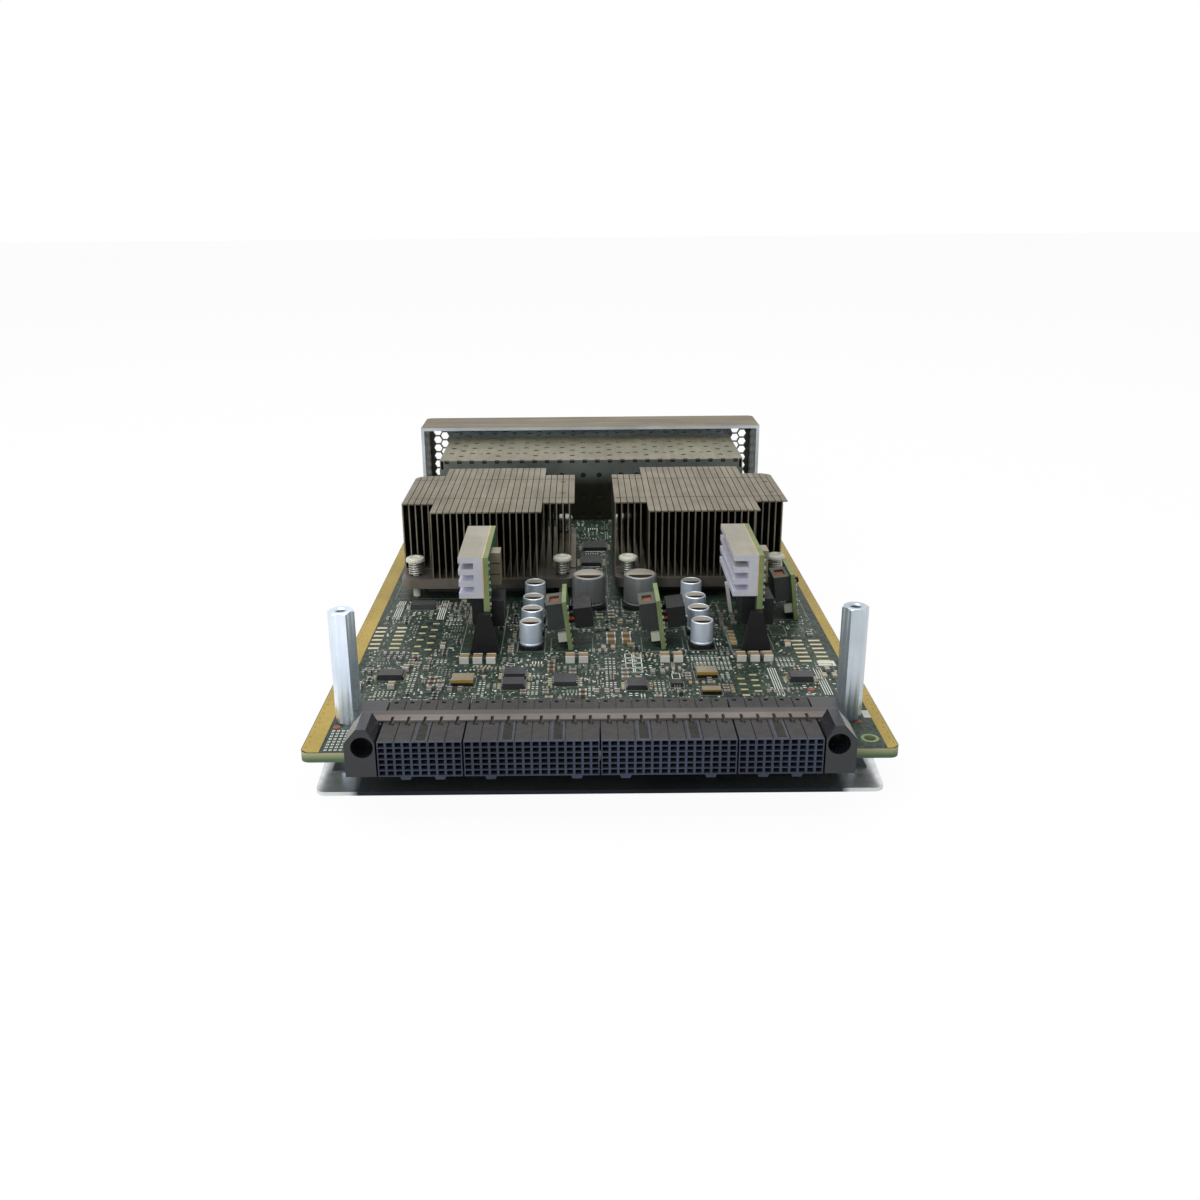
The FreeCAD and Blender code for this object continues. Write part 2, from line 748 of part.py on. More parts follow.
def cage_shell():
    """The folded top and sides of the cage, with its vent holes and edge notches."""
    width, sheet_thick = size(CAGE_WIDTH), size("cage_sheet")
    rear, front = size(CAGE_REAR), size(CAGE_FRONT)
    low, high = size(BOARD_TOP), size(above("cage_rise"))
    radius = size("cage_hole_radius")
    up = (0, 0, 1)
    holes = []
    first_row = size("cage_hole_first_row")
    row_step = size("cage_hole_row_pitch")
    row_count = 1 + int((size(FACE_INNER) - rear - first_row - 2 * radius) / row_step)
    for middle in cage_columns():
        for row in range(row_count):
            y = rear + first_row + row * row_step
            offsets = [0.0] if row % 2 == 0 else [-size("cage_hole_offset"), size("cage_hole_offset")]
            for offset in offsets:
                holes.append(circle_wire((size(middle) + offset, y, high - sheet_thick), up, radius))
    outline = rectangle_wire((-width / 2, rear, high - sheet_thick), (width, 0, 0), (0, front - rear, 0))
    top = pierced_plate(outline, holes, (0, 0, sheet_thick))
    sides = []
    for x in (-width / 2, width / 2 - sheet_thick):
        wall = Part.makeBox(sheet_thick, front - rear, high - low, Vector(x, rear, low))
        sides.append(wall)
    bosses = []
    for column in range(1, COLUMNS):
        x = (column - COLUMNS / 2) * size("column_pitch")
        centre = Vector(x, rear + size("boss_row"), high)
        bosses.append(Part.makeCylinder(size("boss_radius"), size("boss_height"), centre))
    shell = top.multiFuse(sides + bosses).removeSplitter()

    node(feature_from("shell", shell.cut(rear_notches())), "cage_shell")


def rear_notches():
    """Cutters for the row of notches along the cage's rear top edge."""
    width, rear = size(CAGE_WIDTH), size(CAGE_REAR)
    high = size(above("cage_rise"))
    notch_width, notch_length, notch_depth = size("notch_width"), size("notch_length"), size("notch_depth")
    notch_pitch = size("column_pitch") / NOTCHES_PER_COLUMN
    count = NOTCHES_PER_COLUMN * COLUMNS
    notches = []
    for step in range(count):
        x = (step - (count - 1) / 2) * notch_pitch - notch_width / 2
        corner = Vector(x, rear - notch_length, high - notch_depth)
        notches.append(Part.makeBox(notch_width, 2 * notch_length, 2 * notch_depth, corner))
    corner_width, corner_height = size("corner_notch_width"), size("corner_notch_height")
    for across in (-1, 1):
        corner = Vector(across * width / 2 - corner_width, rear - notch_length, high - corner_height)
        notches.append(Part.makeBox(2 * corner_width, 2 * notch_length, 2 * corner_height, corner))
    return notches


def cage_rear_cover():
    """The upright rear wall between the cage's sides, with three rows of vent holes."""
    width = size(f"{CAGE_WIDTH} - 2 * cage_sheet")
    rear, sheet_thick = size(CAGE_REAR), size("cage_sheet")
    low, high = size(above("floor_sheet")), size(above("cage_rise - cage_sheet"))
    radius, offset = size("cage_hole_radius"), size("cage_hole_offset")
    holes = []
    for middle in cage_columns():
        for row in range(REAR_HOLE_ROWS):
            z = size(above("rear_hole_rise")) + radius + row * size("rear_hole_pitch")
            for x in (size(middle) - offset, size(middle) + offset):
                holes.append(circle_wire((x, rear, z), (0, 1, 0), radius))
    outline = rectangle_wire((-width / 2, rear, low), (width, 0, 0), (0, 0, high - low))
    cover = pierced_plate(outline, holes, (0, sheet_thick, 0))
    node(feature_from("rear_cover", cover.cut(rear_notches())), "cage_rear_cover")


def cage_inside():
    """Floor, dividers, port separators and the contact blocks inside the cage."""
    inner_width = f"({CAGE_WIDTH} - 2 * cage_sheet)"
    inner_rear = f"({CAGE_REAR} + cage_sheet)"
    depth = f"({CAGE_FRONT} - {inner_rear})"
    floor = middle_block("floor", "0", CAGE_REAR, BOARD_TOP,
                         (inner_width, f"{CAGE_FRONT} - {CAGE_REAR}", "floor_sheet"))
    node(floor, "cage_floor")

    dividers = []
    for column in range(1, COLUMNS):
        dividers.append(middle_block(f"divider_{column}", f"({column} - {COLUMNS / 2}) * column_pitch",
                                     inner_rear, above("floor_sheet"),
                                     ("divider_sheet", depth, "cage_rise - cage_sheet - floor_sheet")))
    node(group("dividers", dividers), "cage_dividers")

    low = above("floor_sheet + port_height")
    tall = "(cage_rise - cage_sheet - floor_sheet - 2 * port_height)"
    wide = "(column_pitch - divider_sheet)"
    body_front = f"({inner_rear} + connector_body_depth)"
    separators, contacts = [], []
    for number, middle in enumerate(cage_columns(), start=1):
        start = f"({body_front} + connector_nose_depth)"
        outside = middle_block(f"separator_{number}", middle, start, low,
                               (wide, f"{CAGE_FRONT} - {start}", tall))
        hollow = middle_block(f"separator_hollow_{number}", middle, f"{start} - separator_sheet",
                              f"{low} + separator_sheet",
                              (wide, f"{CAGE_FRONT} - {start}", f"{tall} - 2 * separator_sheet"))
        windows = []
        for place_number, offset in enumerate((-4.5, -1.5, 1.5, 4.5), start=1):
            windows.append(middle_block(f"light_window_{number}_{place_number}", f"{middle} + {offset}",
                                        f"{CAGE_FRONT} - 2 * separator_sheet",
                                        f"{low} + {tall} / 3",
                                        (f"{tall} / 3", "4 * separator_sheet", f"{tall} / 3")))
        separators.append(cut(f"separator_channel_{number}", outside, [hollow] + windows))

        stack = middle_block(f"contact_stack_{number}", middle, inner_rear, above("floor_sheet"),
                             ("connector_body_width", "connector_body_depth",
                              "cage_rise - cage_sheet - floor_sheet"))
        pieces = [stack]
        slots = []
        for level in (0, 1):
            port_low = above(f"floor_sheet + {level} * (port_height + {tall})")
            nose_low = f"({port_low} + (port_height - connector_nose_height) / 2)"
            pieces.append(middle_block(f"nose_{number}_{level}", middle, body_front, nose_low,
                                       ("connector_body_width", "connector_nose_depth",
                                        "connector_nose_height")))
            slots.append(middle_block(f"card_slot_{number}_{level}", middle, body_front,
                                      f"{nose_low} + (connector_nose_height - card_slot_height) / 2",
                                      ("connector_body_width - 4 * cage_sheet",
                                       "2 * connector_nose_depth", "card_slot_height")))
        contacts.append(cut(f"contact_block_{number}", fuse(f"contact_blank_{number}", pieces), slots))
    node(group("separators", separators), "port_separators")
    node(group("contact_blocks", contacts), "port_connectors")


def cage_gasket():
    """Thin sprung collar that seals the cage against the back of the faceplate."""
    band_start = f"({FACE_INNER} - gasket_band)"
    top = above("cage_rise")
    collar = middle_block("gasket_collar", "0", band_start, above("-gasket_thick"),
                          (f"{CAGE_WIDTH} + 2 * gasket_thick", "gasket_band",
                           "cage_rise + 2 * gasket_thick"))
    inside = middle_block("gasket_inside", "0", f"{band_start} - gasket_band", BOARD_TOP,
                          (CAGE_WIDTH, "3 * gasket_band", "cage_rise"))
    pieces = [cut("gasket_frame", collar, [inside])]
    for column in range(1, COLUMNS):
        pieces.append(middle_block(f"gasket_finger_{column}", f"({column} - {COLUMNS / 2}) * column_pitch",
                                   f"{band_start} - gasket_finger_length", top,
                                   ("gasket_finger_width", "gasket_finger_length", "gasket_thick")))
    for across in (-1, 1):
        x = f"({across} * ({CAGE_WIDTH} / 2 - gasket_tab_radius))"
        start = f"({band_start} - gasket_tab_length)"
        pieces.append(rod(f"gasket_tab_{across + 1}", (x, start, top), "gasket_tab_radius", "gasket_thick"))
        pieces.append(middle_block(f"gasket_strap_{across + 1}", x, start, top,
                                   ("2 * gasket_tab_radius", "gasket_tab_length", "gasket_thick")))
    node(fuse("gasket", pieces), "cage_gasket")


# Chips, heat sinks and their push pins

def comb(low_x, count, low_y, length, low_z, high_z):
    """Fins side by side, each folded over at the top and joined at its foot."""
    pitch, web, gap = size("fin_pitch"), size("fin_sheet"), size("fin_gap")
    foot = low_z + web
    outline = [(low_x, low_y, low_z), (low_x, low_y, high_z)]
    for step in range(count):
        x = low_x + step * pitch
        if step > 0:
            outline += [(x, low_y, foot), (x, low_y, high_z)]
        outline += [(x + pitch - gap, low_y, high_z), (x + pitch - gap, low_y, high_z - web),
                    (x + web, low_y, high_z - web), (x + web, low_y, foot)]
    outline += [(low_x + count * pitch, low_y, foot), (low_x + count * pitch, low_y, low_z)]
    return slab(outline, (0, length, 0))


def fin_stack(side, middle_x):
    """The soldered stack of folded fins, shorter at both ends to clear the pins."""
    pitch = size("fin_pitch")
    count = int(size("base_width") / pitch + 0.01)
    inner_count = int(size("fin_stub_width") / pitch + 0.01)
    edge_count = (count - inner_count) // 2
    low_z = size(above("chip_height + base_thick"))
    high_z = size(above("module_rise"))
    left = size(middle_x) - count * pitch / 2
    middle_y = size(along("sink_y"))
    body_length, whole_length = size("fin_body_length"), size("base_length")
    body_y = middle_y - body_length / 2
    stacks = [
        comb(left, edge_count, body_y, body_length, low_z, high_z),
        comb(left + edge_count * pitch, inner_count, middle_y - whole_length / 2,
             whole_length, low_z, high_z),
        comb(left + (edge_count + inner_count) * pitch, count - edge_count - inner_count,
             body_y, body_length, low_z, high_z),
    ]
    stack = stacks[0].multiFuse(stacks[1:])
    seam = size("fin_seam_width")
    tools = []
    for across in (-1, 1):
        y = middle_y + across * size("fin_seam_offset") - seam / 2
        tools.append(Part.makeBox((count + 2) * pitch, seam, 2 * size("fin_seam_depth"),
                                  Vector(left - pitch, y, high_z - size("fin_seam_depth"))))
    corner = size("fin_corner")
    outer = left if side == "left" else left + count * pitch
    inward = 1 if side == "left" else -1
    centre_x, centre_y = outer + inward * corner, middle_y + body_length / 2 - corner
    low_x = min(outer - inward * corner, centre_x)
    tall = high_z - low_z
    waste = Part.makeBox(2 * corner, 2 * corner, tall, Vector(low_x, centre_y, low_z))
    tools.append(waste.cut(Part.makeCylinder(corner, tall, Vector(centre_x, centre_y, low_z))))
    label = f"heat_sink_fins_{side}"
    node(feature_from(label, stack.cut(tools)), label)


def heat_sink(side, middle_x):
    substrate = middle_block(f"substrate_{side}", middle_x, along("sink_y - chip_size / 2"), BOARD_TOP,
                             ("chip_size", "chip_size", "chip_substrate"))
    lid = middle_block(f"lid_{side}", middle_x, along("sink_y - chip_lid / 2"), above("chip_substrate"),
                       ("chip_lid", "chip_lid", "chip_height - chip_substrate"))
    node(fuse(f"chip_{side}", [substrate, lid]), f"switch_chip_{side}")

    body = new_body(f"sink_base_{side}")
    outline = new_sketch(body, f"base_outline_{side}", "XY_Plane", above("chip_height"))
    low_x, high_x = f"{middle_x} - base_width / 2", f"{middle_x} + base_width / 2"
    near, far = along("sink_y - base_length / 2"), along("sink_y + base_length / 2")
    draw_outline(outline, [(low_x, near), (high_x, near), (high_x, far), (low_x, far)])
    plate = pad(body, outline, f"base_plate_{side}", "base_thick")
    round_upright_edges(body, plate, f"base_corners_{side}", "base_corner", lambda point: True)
    holes = new_sketch(body, f"base_holes_{side}", "XY_Plane", above("chip_height"))
    for across in (-1, 1):
        for deep in (-1, 1):
            draw_circle(holes, f"{middle_x} + {across} * pin_offset_x",
                        along(f"sink_y + {deep} * pin_offset_y"), "pin_radius + pin_clearance")
    pocket_through(body, holes, f"base_drilling_{side}")
    node(body, f"heat_sink_base_{side}")
    fin_stack(side, middle_x)


def push_pins():
    """Barbed plastic pins that hold the heat sinks down, and the springs under their heads."""
    pins = []
    head_under = "(pin_rise - pin_head_height)"
    for number, (x, y) in enumerate(PUSH_PINS, start=1):
        shank_foot = "-board_thick"
        shank = rod(f"pin_shank_{number}", (x, y, above(shank_foot)), "pin_radius",
                    f"{head_under} + board_thick")
        head = rod(f"pin_head_{number}", (x, y, above(head_under)), "pin_head_radius", "pin_head_height")
        barb = doc.addObject("Part::Cone", f"pin_barb_{number}")
        bind(barb, Radius1="pin_radius / 2", Radius2="pin_barb_radius", Height="pin_barb_length")
        place(barb, x, y, above("-board_thick - pin_barb_length"))
        blank = fuse(f"pin_blank_{number}", [shank, head, barb])
        split = middle_block(f"pin_split_{number}", x, f"{y} - 2 * pin_radius",
                             above("-board_thick - 1.1 * pin_barb_length"),
                             ("pin_radius / 3", "4 * pin_radius", "pin_barb_length"))
        pins.append(cut(f"push_pin_{number}", blank, [split]))
    node(group("pins", pins), "push_pins")

    wire = size("pin_spring_wire")
    length = size("pin_rise - pin_head_height - chip_height - base_thick - 2 * pin_spring_wire")
    spring = coil(size("pin_spring_radius"), wire, length, size("pin_spring_turns"))
    springs = []
    for number, (x, y) in enumerate(PUSH_PINS, start=1):
        foot = (x, y, above("chip_height + base_thick + pin_spring_wire"))
        springs.append(feature_from(f"pin_spring_{number}", spring.copy(), foot))
    node(group("pin_springs", springs), "push_pin_springs")


# Backplane connector

def contact_modules():
    """Places of the four contact modules: label, low X and column count."""
    total = f"({sum(MODULE_COLUMNS)} * contact_pitch + {len(MODULE_COLUMNS) - 1} * module_gap)"
    modules = []
    passed = 0
    for number, columns in enumerate(MODULE_COLUMNS, start=1):
        low_x = f"(-{total} / 2 + {passed} * contact_pitch + {number - 1} * module_gap)"
        modules.append((f"contact_module_{number}", low_x, columns))
        passed += columns
    return modules, total


def contact_module(label, low_x_formula, columns):
    """One moulded block with square contact apertures in front and seams on top."""
    low_x, pitch = size(low_x_formula), size("contact_pitch")
    width = columns * pitch
    front, depth = size(NOSE_FRONT), size("connector_depth")
    low, high = size(above("connector_seat")), size(above("connector_rise"))
    mouth = size("aperture_depth")
    wide, tall = size("aperture_width"), size("aperture_height")
    holes = []
    for column in range(columns):
        for row in range(CONTACT_ROWS):
            x = low_x + (column + 0.5) * pitch - wide / 2
            z = size(above("lowest_row_rise")) + row * size("row_pitch") - tall / 2
            holes.append(rectangle_wire((x, front, z), (wide, 0, 0), (0, 0, tall)))
    outline = rectangle_wire((low_x, front, low), (width, 0, 0), (0, 0, high - low))
    grid = pierced_plate(outline, holes, (0, mouth, 0))
    rest = Part.makeBox(width, depth - mouth, high - low, Vector(low_x, front + mouth, low))
    moulding = grid.fuse(rest)

    tools = []
    seam, seam_depth = size("seam_width"), size("seam_depth")
    strip_start, strip_depth = size("stiffener_start"), size("stiffener_depth")
    strip_end = front + strip_start + strip_depth
    for pair in range(columns // 2):
        x = low_x + pair * 2 * pitch
        if pair > 0:
            front_corner = Vector(x - seam / 2, front + seam, high - seam_depth)
            tools.append(Part.makeBox(seam, size("front_seam_length"), 2 * seam_depth, front_corner))
            rear_corner = Vector(x - seam / 2, strip_end, high - seam_depth)
            tools.append(Part.makeBox(seam, depth, 2 * seam_depth, rear_corner))
        notch_corner = Vector(x + pitch / 2, front + depth - 2 * size("rear_notch_length"),
                              high - 2 * seam_depth)
        tools.append(Part.makeBox(size("rear_notch_width"), size("rear_notch_length"),
                                  3 * seam_depth, notch_corner))
    tools.append(Part.makeBox(width, seam * 1.5, 2 * seam_depth,
                              Vector(low_x, strip_end, high - seam_depth)))
    node(feature_from(label + "_moulding", moulding.cut(tools)), label)


def guide_block(side, sign, inner_x):
    """End block with a bore for the backplane's guide pin."""
    label = f"guide_block_{side}"
    front, low = size(NOSE_FRONT), size(above("connector_seat"))
    inner, width = size(inner_x), size("guide_width")
    shoulder, apex = size(above("guide_shoulder_rise")), size(above("guide_apex_rise"))
    middle, half_top = inner + width * 0.42, size("guide_apex_width") / 2
    head = slab([(sign * inner, front, low), (sign * (inner + width), front, low),
                 (sign * (inner + width), front, shoulder), (sign * (middle + half_top), front, apex),
                 (sign * (middle - half_top), front, apex), (sign * inner, front, shoulder)],
                (0, size("guide_front_depth"), 0))
    tail_low_x = inner if sign > 0 else -(inner + width)
    tail = Part.makeBox(width, size("connector_depth") - size("guide_front_depth"),
                        size("connector_rise - connector_seat"),
                        Vector(tail_low_x, front + size("guide_front_depth"), low))
    bore_centre = Vector(sign * (inner + width / 2 - width * 0.08), front, size(above("guide_bore_rise")))
    bore = Part.makeCylinder(size("guide_bore_radius"), size("guide_bore_depth"), bore_centre, Vector(0, 1, 0))
    moulding = head.fuse(tail).removeSplitter().cut(bore)
    node(feature_from(label + "_moulding", moulding), label)


def backplane_connector():
    modules, total = contact_modules()
    for label, low_x, columns in modules:
        contact_module(label, low_x, columns)
    inner_x = f"({total} / 2 + module_gap)"
    guide_block("left", -1, inner_x)
    guide_block("right", 1, inner_x)

    start = f"({NOSE_FRONT} + stiffener_start)"
    strip = middle_block("stiffener_strip", "0", start, above("connector_rise"),
                         (f"{total} + 2 * module_gap + 1.6 * guide_width", "stiffener_depth",
                          "stiffener_thick"))
    slots = []
    for label, low_x, columns in modules:
        for pair in range(columns // 2):
            slots.append(middle_block(f"{label}_slot_{pair}", f"{low_x} + {2 * pair + 1} * contact_pitch",
                                      f"{start} - stiffener_thick", above("connector_rise"),
                                      ("stiffener_slot_width", "stiffener_slot_length",
                                       "2 * stiffener_thick")))
    node(cut("stiffener", strip, slots), "connector_stiffener")


# Upright power modules with finned heat sinks

def power_module(side, board_x):
    """Board on edge, extruded heat sink on its left face, parts on its right face."""
    label = f"power_{side}"
    front, length = size(along("power_front_y")), size("power_length")
    board = block(label + "_panel", (board_x, along("power_front_y"), BOARD_TOP),
                  ("power_board_thick", "power_length", "power_rise"))
    node(board, label + "_board")

    low, high = size(above("power_sink_bottom")), size(above("power_rise"))
    face, depth, web = size(board_x), size("power_sink_depth"), size("power_sink_web")
    count, fin = int(size("power_fin_count")), size("power_fin_thick")
    step = (high - low - fin) / (count - 1)
    outline = [(face, front, low), (face, front, high), (face - depth, front, high)]
    for number in range(count - 1):
        fin_low = high - number * step - fin
        outline += [(face - depth, front, fin_low), (face - web, front, fin_low),
                    (face - web, front, fin_low - step + fin), (face - depth, front, fin_low - step + fin)]
    outline.append((face - depth, front, low))
    node(feature_from(label + "_extrusion", slab(outline, (0, length, 0))), label + "_heat_sink")

    chokes = []
    start = along("power_front_y + power_core_start")
    core_low = above("power_sink_bottom - power_core_height")
    core = block(label + "_core", (f"{board_x} - power_core_depth", start, core_low),
                 ("power_core_depth", "power_core_length", "power_core_height"))
    rounded = doc.addObject("Part::Fillet", label + "_core_rounded")
    rounded.Base = core
    doc.recompute()
    long_edges = [number for number, edge in enumerate(core.Shape.Edges, start=1)
                  if abs(edge.Vertexes[0].Y - edge.Vertexes[-1].Y) > edge.Length * 0.99
                  and edge.CenterOfMass.x < face - size("power_core_depth") / 2]
    rounding = min(size("power_core_depth"), size("power_core_height")) * 0.45
    rounded.Edges = [(number, rounding, rounding) for number in long_edges]
    chokes.append(rounded)
    chokes.append(block(label + "_choke", (f"{board_x} + power_board_thick", start,
                                           above("power_sink_bottom - power_core_height")),
                        ("power_core_depth", "power_choke_length", "power_core_height * 0.8")))
    node(group(label + "_magnetics_group", chokes), label + "_magnetics")

    stack = []
    for number in range(3):
        z = above(f"power_sink_bottom + power_fin_thick / 2 + {number} * (power_capacitor_height + 0.3)")
        stack.append(block(f"{label}_capacitor_{number}",
                           (f"{board_x} + power_board_thick", along("power_front_y + power_capacitor_start"), z),
                           ("power_capacitor_depth", "power_capacitor_length", "power_capacitor_height")))
    node(group(label + "_capacitor_stack", stack), label + "_capacitors")

    middle = face + size("power_board_thick / 2 - support_shift")
    half_base, half_top = size("support_base_width") / 2, size("support_top_width") / 2
    floor, top = size(BOARD_TOP), size(above("support_height"))
    depth = size("support_depth")
    wedge = slab([(middle - half_base, front - depth, floor), (middle + half_base, front - depth, floor),
                  (middle + half_top, front - depth, top), (middle - half_top, front - depth, top)],
                 (0, depth, 0))
    node(feature_from(label + "_wedge", wedge), label + "_support")


# Upright regulator modules, leaning a little to the left

REGULATORS = {
    "one": ("regulator_one_x", along("regulator_front_y")),
    "two": ("regulator_two_x", along("regulator_front_y")),
    "three": ("regulator_three_x", along("regulator_front_y + regulator_set_back")),
}
WITH_INDUCTOR = ("one", "two")


def stand(name, shape, board_x, front_y):
    """Lean a shape drawn upright at the origin and set it on the board."""
    standing = doc.addObject("Part::Feature", name)
    standing.Shape = shape
    foot = Vector(size(board_x), size(front_y), size(BOARD_TOP))
    standing.Placement = Placement(foot, Rotation(Vector(0, 1, 0), -size("regulator_lean")))
    return standing


def windowed_choke():
    """Ferrite block on the board's left face with a window in its top."""
    depth, length, height = size("choke_depth"), size("choke_length"), size("choke_height")
    corner = Vector(-depth, size("choke_start"), size("choke_rise"))
    wide, long = size("choke_window_width"), size("choke_window_length")
    deep = size("choke_window_depth")
    window_corner = corner + Vector((depth - wide) / 2, (length - long) / 2, height - deep)
    window = Part.makeBox(wide, long, deep * 2, window_corner)
    return Part.makeBox(depth, length, height, corner).cut(window)


def tabbed_inductor():
    """Moulding held off the board's right face by two leads."""
    depth, length, height = size("inductor_depth"), size("inductor_length"), size("inductor_height")
    lead = size("inductor_lead")
    low = Vector(size("regulator_thick") + lead, size("choke_start"), size("inductor_rise"))
    tabs = [Part.makeBox(lead, length / 5, height / 2, low + Vector(-lead, length * start, height / 4))
            for start in (0.1, 0.7)]
    return Part.makeBox(depth, length, height, low).multiFuse(tabs)


def regulators():
    panel = Part.makeBox(size("regulator_thick"), size("regulator_length"), size("regulator_rise"))
    choke, inductor = windowed_choke(), tabbed_inductor()
    panels, chokes, inductors = [], [], []
    for number, place_at in REGULATORS.items():
        panels.append(stand(f"regulator_{number}_panel", panel.copy(), *place_at))
        chokes.append(stand(f"regulator_{number}_ferrite", choke.copy(), *place_at))
        if number in WITH_INDUCTOR:
            inductors.append(stand(f"regulator_{number}_moulding", inductor.copy(), *place_at))
    node(group("regulator_panels", panels), "regulator_boards")
    node(group("regulator_ferrites", chokes), "regulator_chokes")
    node(group("regulator_mouldings", inductors), "regulator_inductors")


# Can capacitors

def can_capacitor(name, x, y, radius, height):
    """A can on a square base with two cut corners and a groove above the base."""
    half = f"({radius} + can_base_lip)"
    base = middle_block(name + "_base", x, f"{y} - {half}", BOARD_TOP,
                        (f"2 * {half}", f"2 * {half}", "can_base_height"))
    can = rod(name + "_can", (x, y, above("can_base_height")), radius, f"{height} - can_base_height")
    groove_low = above("can_base_height * 1.6")
    groove_outer = rod(name + "_groove_outer", (x, y, groove_low), f"{radius} * 1.2", "can_groove_depth * 2")
    groove_core = rod(name + "_groove_core", (x, y, groove_low), f"{radius} - can_groove_depth",
                      "can_groove_depth * 2")
    groove = cut(name + "_groove", groove_outer, [groove_core])
    return cut(name, fuse(name + "_blank", [base, can]), [groove])


def can_capacitors():
    for side, x in (("left", "can_left_x"), ("right", "can_right_x")):
        cans = [can_capacitor(f"small_can_{side}_{number}", x, along(y), "small_can_radius", "small_can_height")
                for number, y in enumerate(SMALL_CAN_ROWS, start=1)]
        node(group(f"small_cans_{side}", cans), f"small_capacitors_{side}")
    cans = [can_capacitor(f"large_can_{side}", x, along("large_can_y"), "large_can_radius", "large_can_height")
            for side, x in (("left", "large_can_left_x"), ("right", "large_can_right_x"))]
    node(group("large_cans", cans), "large_capacitors")


# Flat packages and small chip parts on the board: middle X, middle Y, width, depth, height

FLAT_PACKAGES = [
    (-52.1, 95.2, 7.4, 3.9, 1.6),
    (-53.9, 42.4, 6.4, 4.0, 1.5),
    (-21.5, 42.6, 5.4, 4.4, 1.6),
    (-21.5, 36.2, 5.4, 4.4, 1.6),
    (-8.3, 38.6, 5.8, 5.6, 1.2),
    (10.1, 35.8, 4.8, 5.2, 1.2),
    (20.4, 36.2, 2.7, 2.6, 1.0),
    (52.6, 39.0, 5.6, 4.0, 1.6),
    (0.8, 155.6, 7.8, 8.0, 1.2),
    (-0.6, 138.6, 6.4, 8.4, 1.2),
]
OSCILLATORS = [
    (-34.7, 38.6, 5.6, 4.6, 1.7),
    (28.6, 42.2, 5.3, 4.2, 1.7),
    (28.7, 31.2, 4.8, 2.6, 1.3),
]
CHIP_CAPACITOR_ROWS = [(-35.6, 3), (-7.1, 2), (18.4, 2), (39.0, 3)]
CHIP_CAPACITOR_ROW_Y = 52.4
CHIP_CAPACITOR_PITCH = 3.6
CHIP_CAPACITOR_SIDES = (2.5, 3.2, 1.8)
LOOSE_CHIP_CAPACITORS = [
    (-50.6, 47.0, 1.6, 2.6, 1.2),
    (-52.8, 36.0, 1.8, 2.6, 1.2),
    (-61.2, 36.0, 1.6, 2.4, 1.2),
    (4.3, 69.6, 2.6, 2.0, 1.2),
    (8.6, 69.6, 2.6, 2.0, 1.2),
    (4.3, 65.2, 2.6, 2.0, 1.2),
    (8.6, 65.2, 2.6, 2.0, 1.2),
    (53.2, 62.6, 1.6, 2.4, 1.0),
    (-42.6, 63.0, 1.4, 2.6, 1.0),
]


def board_parts():
    def packages(name, places):
        return [middle_block(f"{name}_{number}", str(x), along(f"{y} - {deep} / 2"), BOARD_TOP,
                             (str(wide), str(deep), str(tall)))
                for number, (x, y, wide, deep, tall) in enumerate(places, start=1)]

    node(group("flat_packages", packages("package", FLAT_PACKAGES)), "small_chips")
    node(group("oscillator_cans", packages("oscillator", OSCILLATORS)), "oscillators")
    places = list(LOOSE_CHIP_CAPACITORS)
    for first_x, count in CHIP_CAPACITOR_ROWS:
        for step in range(count):
            places.append((first_x + step * CHIP_CAPACITOR_PITCH, CHIP_CAPACITOR_ROW_Y) + CHIP_CAPACITOR_SIDES)
    node(group("chip_capacitors", packages("chip_capacitor", places)), "ceramic_capacitors")


def build():
    main_board()
    bottom_tray()
    tray_film()
    board_fixings()
    for side, (x, y) in zip(("left", "right"), STANDOFFS):
        hex_standoff(f"standoff_{side}", x, y)
    faceplate()
    captive_fastener("left", "(-captive_x)")
    captive_fastener("right", "captive_x")
    cage_shell()
    cage_rear_cover()
    cage_inside()
    cage_gasket()
    for side, middle_x in SINKS.items():
        heat_sink(side, middle_x)
    push_pins()
    backplane_connector()
    power_module("left", "power_left_x")
    power_module("right", "power_right_x")
    regulators()
    can_capacitors()
    board_parts()
    doc.recompute()


def check_and_export():
    for feature in doc.Objects:
        faults = [state for state in feature.State if state in ("Invalid", "Error")]
        if faults:
            raise RuntimeError(f"{feature.Name} is {faults}")
    for label, feature in NODES.items():
        if feature.Shape.isNull() or not feature.Shape.isValid():
            raise RuntimeError(f"{label} has no valid shape")
    for label, feature in NODES.items():
        feature.Shape.exportStep(f"parts/{label}.step")


build()
check_and_export()
